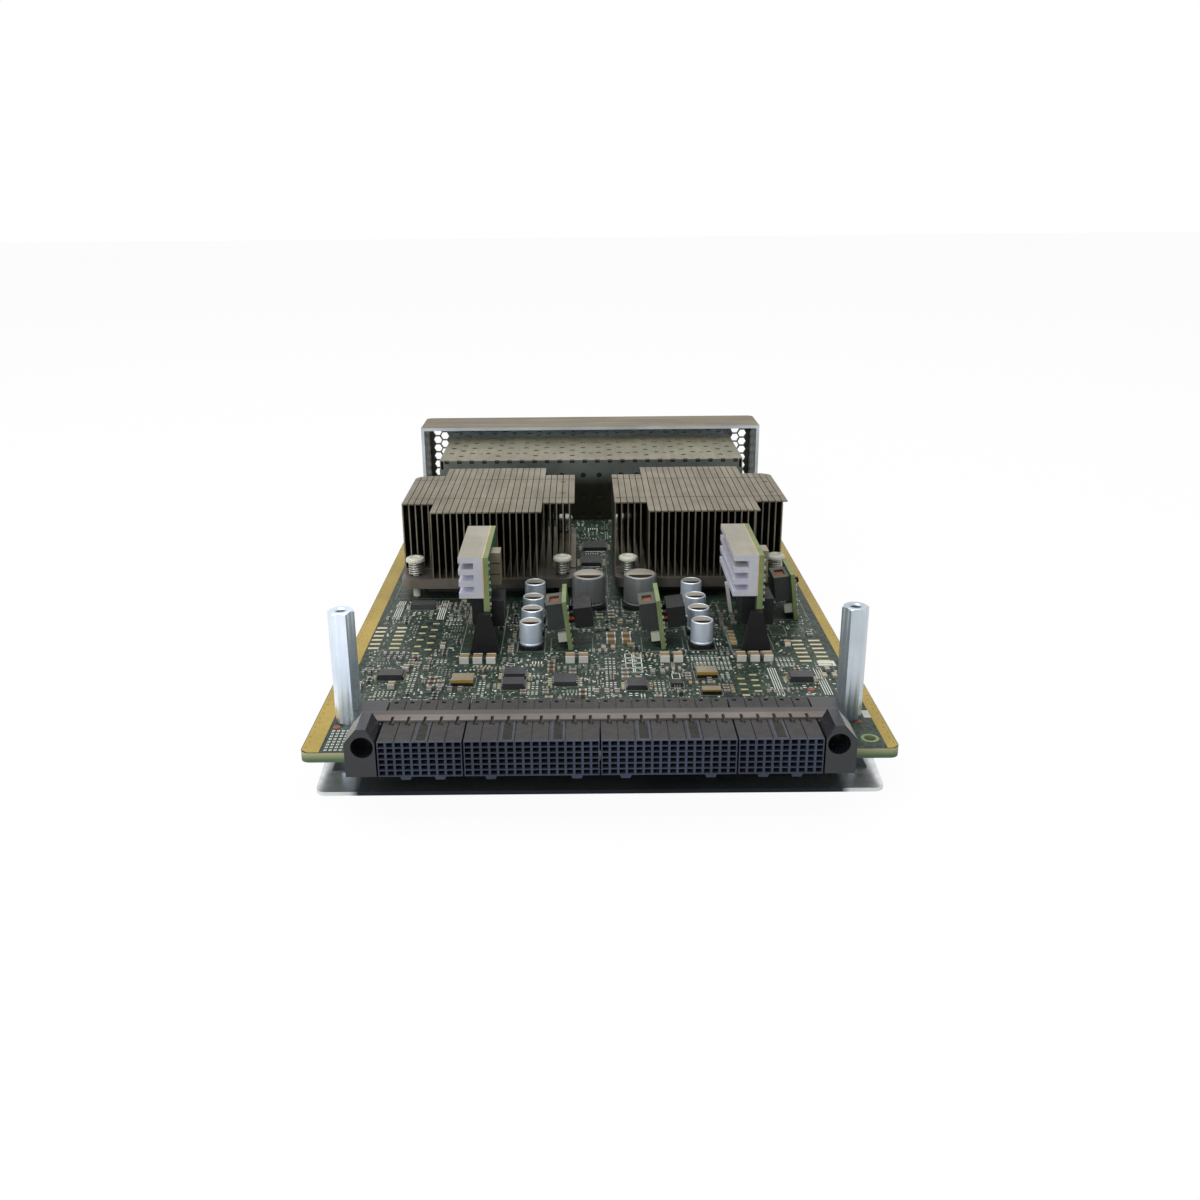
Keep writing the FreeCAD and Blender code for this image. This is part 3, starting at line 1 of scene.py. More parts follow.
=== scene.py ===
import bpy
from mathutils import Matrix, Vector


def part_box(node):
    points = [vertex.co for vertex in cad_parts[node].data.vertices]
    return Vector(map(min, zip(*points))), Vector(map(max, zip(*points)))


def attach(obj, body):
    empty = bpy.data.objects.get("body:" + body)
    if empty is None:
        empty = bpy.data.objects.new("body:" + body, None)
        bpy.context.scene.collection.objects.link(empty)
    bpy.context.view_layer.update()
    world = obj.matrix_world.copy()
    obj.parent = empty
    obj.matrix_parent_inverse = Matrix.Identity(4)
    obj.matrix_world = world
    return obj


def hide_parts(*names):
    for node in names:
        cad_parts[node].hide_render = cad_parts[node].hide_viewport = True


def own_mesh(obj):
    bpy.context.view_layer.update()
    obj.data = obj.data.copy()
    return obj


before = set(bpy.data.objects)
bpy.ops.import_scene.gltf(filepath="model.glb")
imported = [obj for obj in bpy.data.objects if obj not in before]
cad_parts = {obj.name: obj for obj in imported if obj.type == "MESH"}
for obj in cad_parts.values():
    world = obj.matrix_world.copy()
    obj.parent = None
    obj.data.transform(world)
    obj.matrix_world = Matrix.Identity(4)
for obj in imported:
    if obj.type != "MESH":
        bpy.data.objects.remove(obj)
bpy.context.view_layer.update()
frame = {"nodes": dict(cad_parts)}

import fnmatch
import math
import random

import bmesh
import bpy
from mathutils import Matrix, Vector

# Looks of the switch expansion module. Everything is in metres in the row frame.
# Sizes below are written in millimetres and measured from the board's near edge and
# its top face, as in the CAD source, and MM turns them into metres.

MM = 0.001
BODY = "module"
BOARD_LOW, BOARD_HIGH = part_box("main_board")
BOARD_FRONT = BOARD_LOW.y
BOARD_TOP = BOARD_HIGH.z
BOARD_HALF = BOARD_HIGH.x
NODES = frame["nodes"]
CAN_NODES = ["small_capacitors_left", "small_capacitors_right", "large_capacitors"]
X, Y, Z = range(3)
dice = random.Random(8515)


# Mesh helpers

def spot(x, y, z=0.0):
    """A place on the board, in metres in the row frame."""
    return Vector((x * MM, BOARD_FRONT + y * MM, BOARD_TOP + z * MM))


def make_piece(name, shape, looks, soft_below=0):
    """Put a finished mesh in the scene, riding on the module; edges under an angle are shaded soft."""
    if soft_below:
        shape.normal_update()
        for edge in shape.edges:
            edge.smooth = len(edge.link_faces) == 2 and edge.calc_face_angle() < math.radians(soft_below)
        for face in shape.faces:
            face.smooth = True
    mesh = bpy.data.meshes.new(name)
    shape.to_mesh(mesh)
    shape.free()
    for look in looks:
        mesh.materials.append(MATERIAL[look])
    piece = bpy.data.objects.new(name, mesh)
    bpy.context.scene.collection.objects.link(piece)
    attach(piece, BODY)
    return piece


def add_box(shape, low, high, look=0, turn=None):
    """A box between two corners; turn is a matrix applied to it afterwards."""
    corners = [Vector((x, y, z)) for z in (low[2], high[2]) for y in (low[1], high[1])
               for x in (low[0], high[0])]
    if turn is not None:
        corners = [turn @ corner for corner in corners]
    points = [shape.verts.new(corner) for corner in corners]
    for ring in ((0, 2, 3, 1), (4, 5, 7, 6), (0, 1, 5, 4), (2, 6, 7, 3), (0, 4, 6, 2), (1, 3, 7, 5)):
        face = shape.faces.new([points[number] for number in ring])
        face.material_index = look
    return points


def add_plate(shape, x, y, wide, deep, thick, look=0):
    """A flat block on the board, centred at x, y, in millimetres."""
    low, high = spot(x - wide / 2, y - deep / 2), spot(x + wide / 2, y + deep / 2, thick)
    add_box(shape, low, high, look)


def add_mark(shape, x, y, wide, deep, look=0, lift=0.02):
    """A flat print mark on the board, centred at x, y in millimetres."""
    corners = [(-1, -1), (1, -1), (1, 1), (-1, 1)]
    points = [shape.verts.new(spot(x + side * wide / 2, y + way * deep / 2, lift)) for side, way in corners]
    shape.faces.new(points).material_index = look


def add_rectangle(shape, low_x, low_y, high_x, high_y, line, look=0):
    """A thin printed rectangle."""
    middle_x, middle_y = (low_x + high_x) / 2, (low_y + high_y) / 2
    for y in (low_y, high_y):
        add_mark(shape, middle_x, y, high_x - low_x + line, line, look)
    for x in (low_x, high_x):
        add_mark(shape, x, middle_y, line, high_y - low_y - line, look)


def add_ring(shape, centre, radius, height, steps):
    """A level ring of points; the radius may also be a function of the angle."""
    ring = []
    for step in range(steps):
        angle = 2 * math.pi * step / steps
        reach = radius(angle) if callable(radius) else radius
        offset = Vector((reach * math.cos(angle), reach * math.sin(angle), height))
        ring.append(shape.verts.new(centre + offset))
    return ring


def bridge(shape, lower, upper, from_upper=False):
    """The band of faces between two equal rings. Each face is split from the ring that it starts on."""
    faces = []
    for corners in zip(lower, lower[1:] + lower[:1], upper[1:] + upper[:1], upper):
        faces.append(shape.faces.new(corners[3:] + corners[:3] if from_upper else corners))
    return faces


def add_outline(shape, corners, low, high, look=0):
    """A flat outline in metres, swept from low to high along Z."""
    lower, upper = [[shape.verts.new((x, y, z)) for x, y in corners] for z in (low, high)]
    faces = [shape.faces.new(lower[::-1]), shape.faces.new(upper)] + bridge(shape, lower, upper)
    for face in faces:
        face.material_index = look


def add_turned(shape, foot, profile, steps, look=0):
    """A turned solid from (radius, height) pairs in metres, bottom up; a last radius of 0 is a tip."""
    rings = [add_ring(shape, foot, radius, height, steps) for radius, height in profile if radius]
    faces = [shape.faces.new(rings[0][::-1])]
    for lower, upper in zip(rings, rings[1:]):
        faces += bridge(shape, lower, upper)
    rim = rings[-1]
    last_radius, top = profile[-1]
    if last_radius:
        faces.append(shape.faces.new(rim))
    else:
        tip = shape.verts.new(foot + Vector((0, 0, top)))
        faces += [shape.faces.new((first, second, tip)) for first, second in zip(rim, rim[1:] + rim[:1])]
    for face in faces:
        face.material_index = look


def add_coil(shape, foot, radius, wire, height, turns, axis=Matrix.Identity(3)):
    """A round wire wound about the axis, with flat ends."""
    steps_a_turn, sides = 28, 10
    steps = round(turns * steps_a_turn)
    previous = None
    for step in range(steps + 1):
        angle = 2 * math.pi * turns * step / steps
        outward = Vector((math.cos(angle), math.sin(angle), 0))
        centre = outward * radius + Vector((0, 0, height * step / steps))
        ring = []
        for side in range(sides):
            around = 2 * math.pi * side / sides
            offset = outward * (wire * math.cos(around)) + Vector((0, 0, wire * math.sin(around)))
            ring.append(shape.verts.new(foot + axis @ (centre + offset)))
        if previous is None:
            shape.faces.new(ring)
        else:
            bridge(shape, ring, previous, from_upper=True)
        previous = ring
    shape.faces.new(previous[::-1])


def solids_of(node):
    """The box of each separate solid in a CAD node: (low, high) corners."""
    mesh = bmesh.new()
    mesh.from_mesh(NODES[node].data)
    bmesh.ops.remove_doubles(mesh, verts=mesh.verts, dist=1e-7)
    boxes = []
    waiting = set(mesh.verts)
    while waiting:
        stack = [waiting.pop()]
        found = []
        while stack:
            vertex = stack.pop()
            found.append(vertex.co.copy())
            for edge in vertex.link_edges:
                other = edge.other_vert(vertex)
                if other in waiting:
                    waiting.remove(other)
                    stack.append(other)
        low = Vector([min(point[axis] for point in found) for axis in range(3)])
        high = Vector([max(point[axis] for point in found) for axis in range(3)])
        boxes.append((low, high))
    mesh.free()
    return sorted(boxes, key=lambda pair: (round(pair[0].x, 5), round(pair[0].y, 5), round(pair[0].z, 5)))


# Materials

class Graph:
    """Short forms for building one material's nodes."""

    def __init__(self, name):
        self.material = bpy.data.materials.new(name)
        self.material.use_nodes = True
        self.tree = self.material.node_tree
        self.shader = self.tree.nodes["Principled BSDF"]
        coordinates = self.tree.nodes.new("ShaderNodeTexCoord")
        self.place = coordinates.outputs["Object"]
        self.normal = coordinates.outputs["Normal"]

    def add(self, kind, **settings):
        node = self.tree.nodes.new(kind)
        for key, value in settings.items():
            setattr(node, key, value)
        return node

    def link(self, source, target):
        self.tree.links.new(source, target)

    def scaled(self, stretch):
        mapping = self.add("ShaderNodeMapping")
        mapping.inputs["Scale"].default_value = stretch
        self.link(self.place, mapping.inputs["Vector"])
        return mapping.outputs["Vector"]

    def noise(self, scale, detail=3.0, stretch=(1, 1, 1), rough=0.55):
        node = self.add("ShaderNodeTexNoise")
        node.inputs["Scale"].default_value = scale
        node.inputs["Detail"].default_value = detail
        node.inputs["Roughness"].default_value = rough
        self.link(self.scaled(stretch), node.inputs["Vector"])
        return node.outputs["Fac"]

    def spread(self, value, low, high, from_low=0.3, from_high=0.7):
        node = self.add("ShaderNodeMapRange")
        node.inputs["From Min"].default_value = from_low
        node.inputs["From Max"].default_value = from_high
        node.inputs["To Min"].default_value = low
        node.inputs["To Max"].default_value = high
        self.link(value, node.inputs["Value"])
        return node.outputs["Result"]

    def along(self, vector, axis):
        node = self.add("ShaderNodeSeparateXYZ")
        self.link(vector, node.inputs[0])
        return node.outputs[axis]

    def times(self, value, factor):
        node = self.add("ShaderNodeMath", operation="MULTIPLY")
        self.link(value, node.inputs[0])
        if isinstance(factor, float):
            node.inputs[1].default_value = factor
        else:
            self.link(factor, node.inputs[1])
        return node.outputs[0]

    def bump(self, height, strength, distance):
        node = self.add("ShaderNodeBump")
        node.inputs["Strength"].default_value = strength
        node.inputs["Distance"].default_value = distance
        self.link(height, node.inputs["Height"])
        self.link(node.outputs["Normal"], self.shader.inputs["Normal"])


def mix_colours(graph, factor, first, second):
    """Blend two colours, each an outlet or a tuple from 0 to 255."""
    node = graph.add("ShaderNodeMix", data_type="RGBA")
    sockets = [socket for socket in node.inputs if socket.type == "RGBA"]
    share = next(socket for socket in node.inputs if socket.name == "Factor" and socket.type == "VALUE")
    graph.link(factor, share)
    for socket, colour in zip(sockets, (first, second)):
        if isinstance(colour, tuple):
            socket.default_value = linear(*colour) + (1.0,)
        else:
            graph.link(colour, socket)
    return next(socket for socket in node.outputs if socket.type == "RGBA")


def linear(*colour):
    """A colour as the eye reads it on screen, 0 to 255, turned into light."""
    shares = [value / 255 for value in colour]
    return tuple(share / 12.92 if share <= 0.04045 else ((share + 0.055) / 1.055) ** 2.4 for share in shares)


def facing(axis, sign=0):
    """Mask of the faces that look along an axis, or both ways along it without a sign."""
    def mask(graph):
        value = graph.along(graph.normal, axis)
        if sign:
            return graph.spread(graph.times(value, float(sign)), 0.0, 1.0, 0.6, 0.8)
        return graph.spread(graph.times(value, value), 0.0, 1.0, 0.4, 0.64)
    return mask


def past(axis, start, end):
    """Mask that grows from start to end along an axis, in metres; end may be the lower one."""
    return lambda graph: graph.spread(graph.along(graph.place, axis), 0.0, 1.0, start, end)


def both(*masks):
    """Mask where all the given masks overlap."""
    def mask(graph):
        value = masks[0](graph)
        for other in masks[1:]:
            value = graph.times(value, other(graph))
        return value
    return mask


def finish(name, light, dark, metallic=0.0, rough=(0.35, 0.5), grain=250.0, stretch=(1, 1, 1),
           bump=0.0, patches=60.0, coat=0.0, specular=0.5, zones=()):
    """A finish with fine grain, broad patches, uneven gloss and other tones in masked zones, painted light
    and shade among them.
    """
    graph = Graph(name)
    fine = graph.noise(grain, 4.0, stretch)
    patch_share = graph.spread(graph.noise(patches, 3.0), 0.0, 1.0, 0.35, 0.65)
    grain_share = graph.spread(fine, 0.0, 0.5)

    def toned(first, second):
        return mix_colours(graph, grain_share, mix_colours(graph, patch_share, first, second), second)

    colour = toned(light, dark)
    for mask, zone_light, zone_dark in zones:
        colour = mix_colours(graph, mask(graph), colour, toned(zone_light, zone_dark))
    graph.link(colour, graph.shader.inputs["Base Color"])
    graph.link(graph.spread(fine, rough[0], rough[1]), graph.shader.inputs["Roughness"])
    graph.shader.inputs["Metallic"].default_value = metallic
    graph.shader.inputs["Specular IOR Level"].default_value = specular
    if coat:
        graph.shader.inputs["Coat Weight"].default_value = coat
        graph.shader.inputs["Coat Roughness"].default_value = 0.25
    if bump:
        graph.bump(fine, bump, 0.0002)
    return graph.material


def board_finish():
    """Green solder mask over a faint network of tracks, with pale glassy edges."""
    graph = Graph("solder_mask")
    tracks = graph.add("ShaderNodeTexVoronoi", feature="DISTANCE_TO_EDGE", distance="MANHATTAN")
    tracks.inputs["Scale"].default_value = 420
    graph.link(graph.scaled((1.0, 1.0, 0.0)), tracks.inputs["Vector"])
    track_lines = graph.spread(tracks.outputs["Distance"], 1.0, 0.0, 0.02, 0.08)
    zones = graph.spread(graph.noise(70, 2.0, (1, 1, 0)), 0.0, 1.0, 0.42, 0.58)
    base = mix_colours(graph, zones, (22, 36, 30), (36, 50, 42))
    coloured = mix_colours(graph, graph.times(track_lines, 0.5), base, (76, 90, 74))
    height = graph.spread(graph.along(graph.place, Z), 0.0, 1.0, BOARD_LOW.z + 0.6 * MM, BOARD_TOP - 0.3 * MM)
    resin = mix_colours(graph, height, (70, 94, 70), (150, 150, 112))
    level = graph.along(graph.normal, Z)
    edge = graph.spread(graph.times(level, level), 1.0, 0.0, 0.3, 0.5)
    graph.link(mix_colours(graph, edge, coloured, resin), graph.shader.inputs["Base Color"])
    graph.link(graph.spread(graph.noise(500), 0.34, 0.5), graph.shader.inputs["Roughness"])
    graph.shader.inputs["Specular IOR Level"].default_value = 0.2
    graph.bump(track_lines, 0.15, 0.00005)
    return graph.material


FACE_LOW, FACE_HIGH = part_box("faceplate")
CAGE_LOW, CAGE_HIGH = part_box("cage_shell")
STIFF_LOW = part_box("connector_stiffener")[0]
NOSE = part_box("contact_module_1")[0].y
# Sides where the tray's painted highlight fades in.
CORNER_START, CORNER_END = 55.5 * MM, 57.5 * MM
REAR_WALL = both(facing(Y, -1), past(Y, CAGE_LOW.y + 1 * MM, CAGE_LOW.y + 0.5 * MM))
PANEL_BACK = both(facing(Y, -1), past(Y, FACE_HIGH.y - 4 * MM, FACE_HIGH.y - 3 * MM))
INNER_SHADE = ((116, 124, 114), (86, 94, 88))

MATERIAL = {
    "board": board_finish(),
    "board_edge": finish("board_edge_resin", (150, 164, 114), (110, 130, 80), rough=(0.4, 0.6)),
    "gold": finish("gold_flash", (178, 154, 76), (156, 134, 62), 0.45, (0.45, 0.58), 900),
    "pad": finish("tinned_pad", (214, 210, 178), (182, 172, 128), 0.5, (0.35, 0.5), 900),
    "silver": finish("tinned_end", (205, 205, 200), (150, 150, 146), 0.6, (0.3, 0.45), 700),
    "cap_end": finish("tinned_cap", (226, 226, 220), (190, 190, 184), 0.2, (0.4, 0.55), 700),
    "copper": finish("bare_copper", (156, 84, 56), (120, 62, 42), 0.4, (0.4, 0.55), 800),
    "enamel": finish("enamelled_wire", (224, 98, 44), (188, 76, 32), 0.2, (0.35, 0.5), 800),
    "via": finish("tarnished_via", (112, 88, 38), (84, 64, 28), 0.3, (0.5, 0.6), 900),
    "silk": finish("white_print", (226, 228, 218), (190, 194, 184), 0.0, (0.6, 0.75), 1200, specular=0.2),
    "silk_thin": finish("thin_print", (150, 156, 146), (116, 124, 114), 0.0, (0.6, 0.75), 1200,
                        specular=0.2),
    "panel": finish("warm_plated_panel", (118, 106, 78), (98, 88, 64), 0.75, (0.36, 0.5),
                    500, (0.05, 1, 1), 0.08, zones=[
        # Painted shade (INNER_SHADE) on the faceplate's inner face and on the side faces that look inwards.
        (PANEL_BACK, *INNER_SHADE),
        (both(facing(X, 1), past(X, -1 * MM, -2 * MM)), *INNER_SHADE),
        (both(facing(X, -1), past(X, 1 * MM, 2 * MM)), *INNER_SHADE),
        # Painted light: pale blue on the flange's underside and on the inner face above the cage top, lifting
        # the shade under the flange.
        (both(facing(Z, -1), past(Z, 20 * MM, 30 * MM)), (206, 216, 228), (176, 188, 202)),
        (both(PANEL_BACK, past(Z, CAGE_HIGH.z - 1 * MM, CAGE_HIGH.z)), (204, 220, 240), (172, 190, 212)),
        (both(facing(Y, -1), past(Y, FACE_LOW.y + 2 * MM, FACE_LOW.y + 1 * MM)),
         (204, 212, 218), (170, 178, 184))]),
    "cage": finish("plated_cage", (138, 134, 110), (116, 112, 92), 0.7, (0.34, 0.5),
                   600, (1, 0.06, 1), 0.08, zones=[
        # Painted light: top faces under the flange fade to near white, from 22 mm to 12 mm before the
        # faceplate's far side and on, lifting the shade the flange casts.
        (both(facing(Z, 1), past(Y, FACE_HIGH.y - 22 * MM, FACE_HIGH.y - 12 * MM)),
         (250, 252, 240), (226, 230, 218)),
        # The cage's rear wall gets a cooler gray; below, a painted reflection of the dark board and heat
        # sinks darkens it from 5 to 10 mm under the cage top downwards.
        (REAR_WALL, (122, 128, 122), (96, 102, 97)),
        (both(REAR_WALL, past(Z, CAGE_HIGH.z - 5 * MM, CAGE_HIGH.z - 10 * MM)),
         (56, 55, 42), (40, 40, 30))]),
    "stiffener": finish("plated_stiffener", (88, 82, 80), (68, 64, 62), 0.35, (0.42, 0.56),
                        600, (0.06, 1, 1), 0.06, zones=[
        (past(Y, STIFF_LOW.y + 3.0 * MM, STIFF_LOW.y + 2.8 * MM), (124, 115, 108), (96, 88, 83))]),
    "tray": finish("plated_tray", (150, 156, 160), (124, 130, 134), 0.85, (0.16, 0.26),
                   420, (0.06, 1, 1), 0.04, zones=[
        # Painted shade: faces of the tray that look towards -Y are a dark slate gray.
        (facing(Y, -1), (62, 68, 78), (48, 54, 62)),
        # Painted highlight: the tray's outer strips, beyond 55.5 to 57.5 mm either side of the middle, fade
        # to near white.
        (past(X, CORNER_START, CORNER_END), (248, 250, 252), (222, 226, 228)),
        (past(X, -CORNER_START, -CORNER_END), (248, 250, 252), (222, 226, 228))]),
    "film": finish("insulating_film", (42, 49, 58), (30, 36, 43), 0.0, (0.3, 0.45), 200),
    "zinc": finish("bright_zinc", (232, 242, 252), (196, 210, 226), 0.8, (0.22, 0.38),
                   260, (1, 1, 0.12), 0.05, coat=0.2, zones=[
        # Painted shade: zinc parts right of the middle, fading in over the first 10 mm, are darker than those
        # on the left.
        (past(X, 0.0, 10 * MM), (198, 207, 214), (164, 175, 184))]),
    "spring": finish("spring_wire", (190, 190, 184), (140, 140, 134), 0.85, (0.28, 0.4), 500),
    "sink": finish("plated_fins", (136, 127, 106), (108, 100, 82), 0.75, (0.36, 0.52),
                   380, (1, 0.08, 1), 0.1, patches=90.0, zones=[
        # Painted shade between the fins: faces that look along X are dark.
        (facing(X), (66, 58, 44), (44, 38, 28)),
        (facing(Y), (134, 130, 114), (98, 93, 80))]),
    "sink_base": finish("plated_base", (116, 110, 102), (84, 80, 74), 0.7, (0.36, 0.55), 300),
    "aluminium": finish("extruded_aluminium", (162, 157, 142), (142, 137, 124), 0.3, (0.42, 0.58),
                        500, (1, 0.08, 1), 0.08, zones=[
        # Painted light: below the cage top and on the faces along X the sink is much lighter, lifting the
        # shade in its slots. The front faces get a lighter, bluer tone.
        (past(Z, CAGE_HIGH.z + 0.5 * MM, CAGE_HIGH.z - 0.5 * MM), (226, 226, 240), (204, 204, 218)),
        (facing(Y), (200, 202, 210), (174, 176, 186)),
        (facing(X), (228, 228, 240), (204, 204, 216))]),
    "black": finish("black_moulding", (22, 22, 25), (13, 13, 15), 0.0, (0.42, 0.6), 700, bump=0.08,
                    specular=0.35),
    "slate": finish("slate_moulding", (46, 56, 76), (30, 37, 53), 0.0, (0.4, 0.56), 600, bump=0.05,
                    specular=0.35, zones=[
        (facing(Z, 1), (44, 41, 39), (30, 28, 28)),
        (both(facing(Z, 1), past(Y, NOSE + 1.1 * MM, NOSE + 0.6 * MM)), (50, 56, 70), (38, 44, 56))]),
    "recess": finish("shaded_recess", (30, 26, 17), (19, 17, 11), 0.0, (0.4, 0.6), 600, specular=0.2),
    # Lighter slate-blue strips laid beside the recesses in the contact modules' top.
    "rim": finish("pale_slate_rim", (56, 62, 76), (44, 49, 60), 0.0, (0.4, 0.56), 600, specular=0.35),
    "guide": finish("guide_moulding", (30, 33, 39), (18, 20, 25), 0.0, (0.2, 0.3), 600, bump=0.04),
    "white": finish("white_nylon", (206, 206, 192), (176, 176, 162), 0.0, (0.4, 0.55), 500),
    "ferrite": finish("pressed_ferrite", (62, 66, 66), (42, 45, 46), 0.0, (0.5, 0.68), 900, bump=0.15,
                      specular=0.35, zones=[(facing(Z, 1), (96, 94, 84), (70, 70, 62))]),
    "brown": finish("brown_ceramic", (112, 84, 62), (86, 64, 46), 0.0, (0.35, 0.5), 800),
    "beige": finish("beige_ceramic", (150, 126, 90), (122, 100, 70), 0.0, (0.35, 0.5), 800),
    "adhesive": finish("thermal_adhesive", (164, 134, 62), (130, 104, 44), 0.0, (0.45, 0.6), 800),
    "gray": finish("gray_ceramic", (150, 138, 112), (112, 106, 92), 0.0, (0.35, 0.5), 800),
    "tan": finish("tan_ceramic", (186, 160, 104), (150, 124, 78), 0.0, (0.35, 0.5), 800),
    "package": finish("moulded_package", (58, 58, 60), (38, 38, 41), 0.0, (0.4, 0.55), 900, bump=0.08),
    "gold_lid": finish("gold_lid", (160, 150, 124), (138, 128, 106), 0.4, (0.35, 0.5), 600, zones=[
        (facing(Y), (206, 172, 84), (168, 136, 60)),
        (both(facing(Y), past(Z, BOARD_TOP + 1.0 * MM, BOARD_TOP + 0.8 * MM)), (44, 38, 34), (28, 24, 22))]),
    "can": finish("drawn_can", (224, 236, 250), (198, 210, 224), 0.45, (0.26, 0.38), 300, (1, 1, 0.1)),
    "large_can": finish("large_drawn_can", (146, 150, 150), (110, 114, 114), 0.5, (0.28, 0.4), 300,
                        (1, 1, 0.1)),
    "can_top": finish("can_top", (190, 184, 168), (152, 146, 132), 0.3, (0.35, 0.5), 600),
    "can_mark": finish("can_mark", (46, 32, 26), (30, 22, 18), 0.0, (0.6, 0.75), 600, specular=0.1),
    "regulator": finish("regulator_board", (84, 112, 70), (58, 82, 52), 0.0, (0.4, 0.55), 700,
                        specular=0.3, zones=[
        (facing(Y), (132, 146, 100), (98, 114, 72)),
        (facing(Z, 1), (140, 154, 108), (108, 124, 82))]),
    "power_board": finish("power_module_board", (70, 98, 66), (48, 72, 48), 0.0, (0.4, 0.55), 700,
                          specular=0.3, zones=[
        (facing(Y), (130, 146, 100), (102, 118, 76)),
        (facing(Z, 1), (126, 142, 98), (98, 114, 74))]),
    "void": finish("shadowed_plastic", (10, 11, 13), (6, 7, 8), 0.0, (0.6, 0.8), 500, specular=0.2),
}


def dress_cad():
    """Give every CAD node its finish; a star in a name stands for any letters."""
    plan = {
        "board": ["main_board"],
        "panel": ["faceplate"],
        "tray": ["bottom_tray"],
        "film": ["tray_film"],
        "zinc": ["tray_spacers", "board_screws", "standoff_*", "captive_ferrule_*", "captive_screw_*",
                 "retaining_ring_*"],
        "cage": ["cage_*", "port_separators"],
        "stiffener": ["connector_stiffener"],
        "sink": ["heat_sink_fins_*"],
        "sink_base": ["heat_sink_base_*"],
        "slate": ["contact_module_*"],
        "guide": ["guide_block_*"],
        "aluminium": ["power_*_heat_sink"],
        "black": ["port_connectors", "power_*_magnetics", "power_*_support", "regulator_inductors"],
        "ferrite": ["regulator_chokes"],
        "gray": ["power_*_capacitors"],
        "brown": ["ceramic_capacitors"],
        "package": ["switch_chip_*", "small_chips"],
        "gold_lid": ["oscillators"],
        "regulator": ["regulator_boards"],
        "power_board": ["power_*_board"],
        "can": ["small_capacitors_*", "large_capacitors"],
        "white": ["push_pins"],
        "spring": ["push_pin_springs", "captive_spring_*"],
    }
    for look, patterns in plan.items():
        for pattern in patterns:
            for name in fnmatch.filter(NODES, pattern):
                NODES[name].data.materials.clear()
                NODES[name].data.materials.append(MATERIAL[look])


# Pieces that take the place of plain CAD nodes

def can_capacitors():
    """Rolled cans with a crimped neck, a printed half moon and a notched black base."""
    base, lip = 1.1 * MM, 0.35 * MM
    wall, foot_block, mark, lid = range(4)
    sides, moon_steps = 40, 14
    for node in CAN_NODES:
        shape = bmesh.new()
        for low, high in solids_of(node):
            centre = (low + high) / 2
            half = (high.x - low.x) / 2
            radius = half - 0.15 * MM
            cut = half * 0.42
            corners = [(-half, -half + cut), (-half + cut, -half), (half - cut, -half), (half, -half + cut),
                       (half, half), (-half, half)]
            corners = [(centre.x + x, centre.y + y) for x, y in corners]
            add_outline(shape, corners, low.z, low.z + base, foot_block)
            foot = Vector((centre.x, centre.y, 0))
            top = high.z
            neck = low.z + base + 0.9 * MM
            profile = [(radius * 0.9, low.z + base - 0.1 * MM), (radius, low.z + base + 0.25 * MM),
                       (radius, neck - lip), (radius * 0.93, neck - 0.1 * MM),
                       (radius * 0.93, neck + 0.1 * MM), (radius, neck + lip),
                       (radius, top - lip * 1.6), (radius * 0.985, top - lip * 0.6),
                       (radius * 0.93, top - lip * 0.1), (radius * 0.9, top),
                       (radius * 0.86, top - lip * 0.35)]
            add_turned(shape, foot, profile, sides, wall)
            mark_top = top - lip * 0.3
            moon = []
            for step in range(moon_steps + 1):
                angle = math.radians(196 + 148 * step / moon_steps)
                reach = radius * 0.8
                moon.append((centre.x + reach * math.cos(angle), centre.y + reach * math.sin(angle)))
            add_outline(shape, moon, mark_top, mark_top + 0.02 * MM, mark)
            level = top - lip * 0.32
            disc = [(radius * 0.855, top - lip * 0.36), (radius * 0.85, level), (0, level)]
            add_turned(shape, foot, disc, sides, lid)
        looks = ["large_can" if node == "large_capacitors" else "can", "black", "can_mark", "can_top"]
        piece = make_piece("rolled_" + node, shape, looks, 35)
        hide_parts(node)


def chip_capacitors():
    """Ceramic chips with tinned end caps that wrap a little round the body."""
    shape = bmesh.new()
    wrap = 0.02 * MM
    for low, high in solids_of("ceramic_capacitors"):
        size = high - low
        long_axis = 1 if size.y >= size.x else 0
        cap = size[long_axis] * 0.13
        inner_low = low + Vector((wrap, wrap, 0))
        inner_high = high - Vector((wrap, wrap, wrap))
        end_high, end_low = high.copy(), low.copy()
        inner_low[long_axis] = end_high[long_axis] = low[long_axis] + cap
        inner_high[long_axis] = end_low[long_axis] = high[long_axis] - cap
        add_box(shape, inner_low, inner_high)
        for cap_low, cap_high in ((low, end_high), (end_low, high)):
            add_box(shape, cap_low, cap_high, 1)
    piece = make_piece("tinned_chip_capacitors", shape, ["beige", "cap_end"])
    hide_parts("ceramic_capacitors")


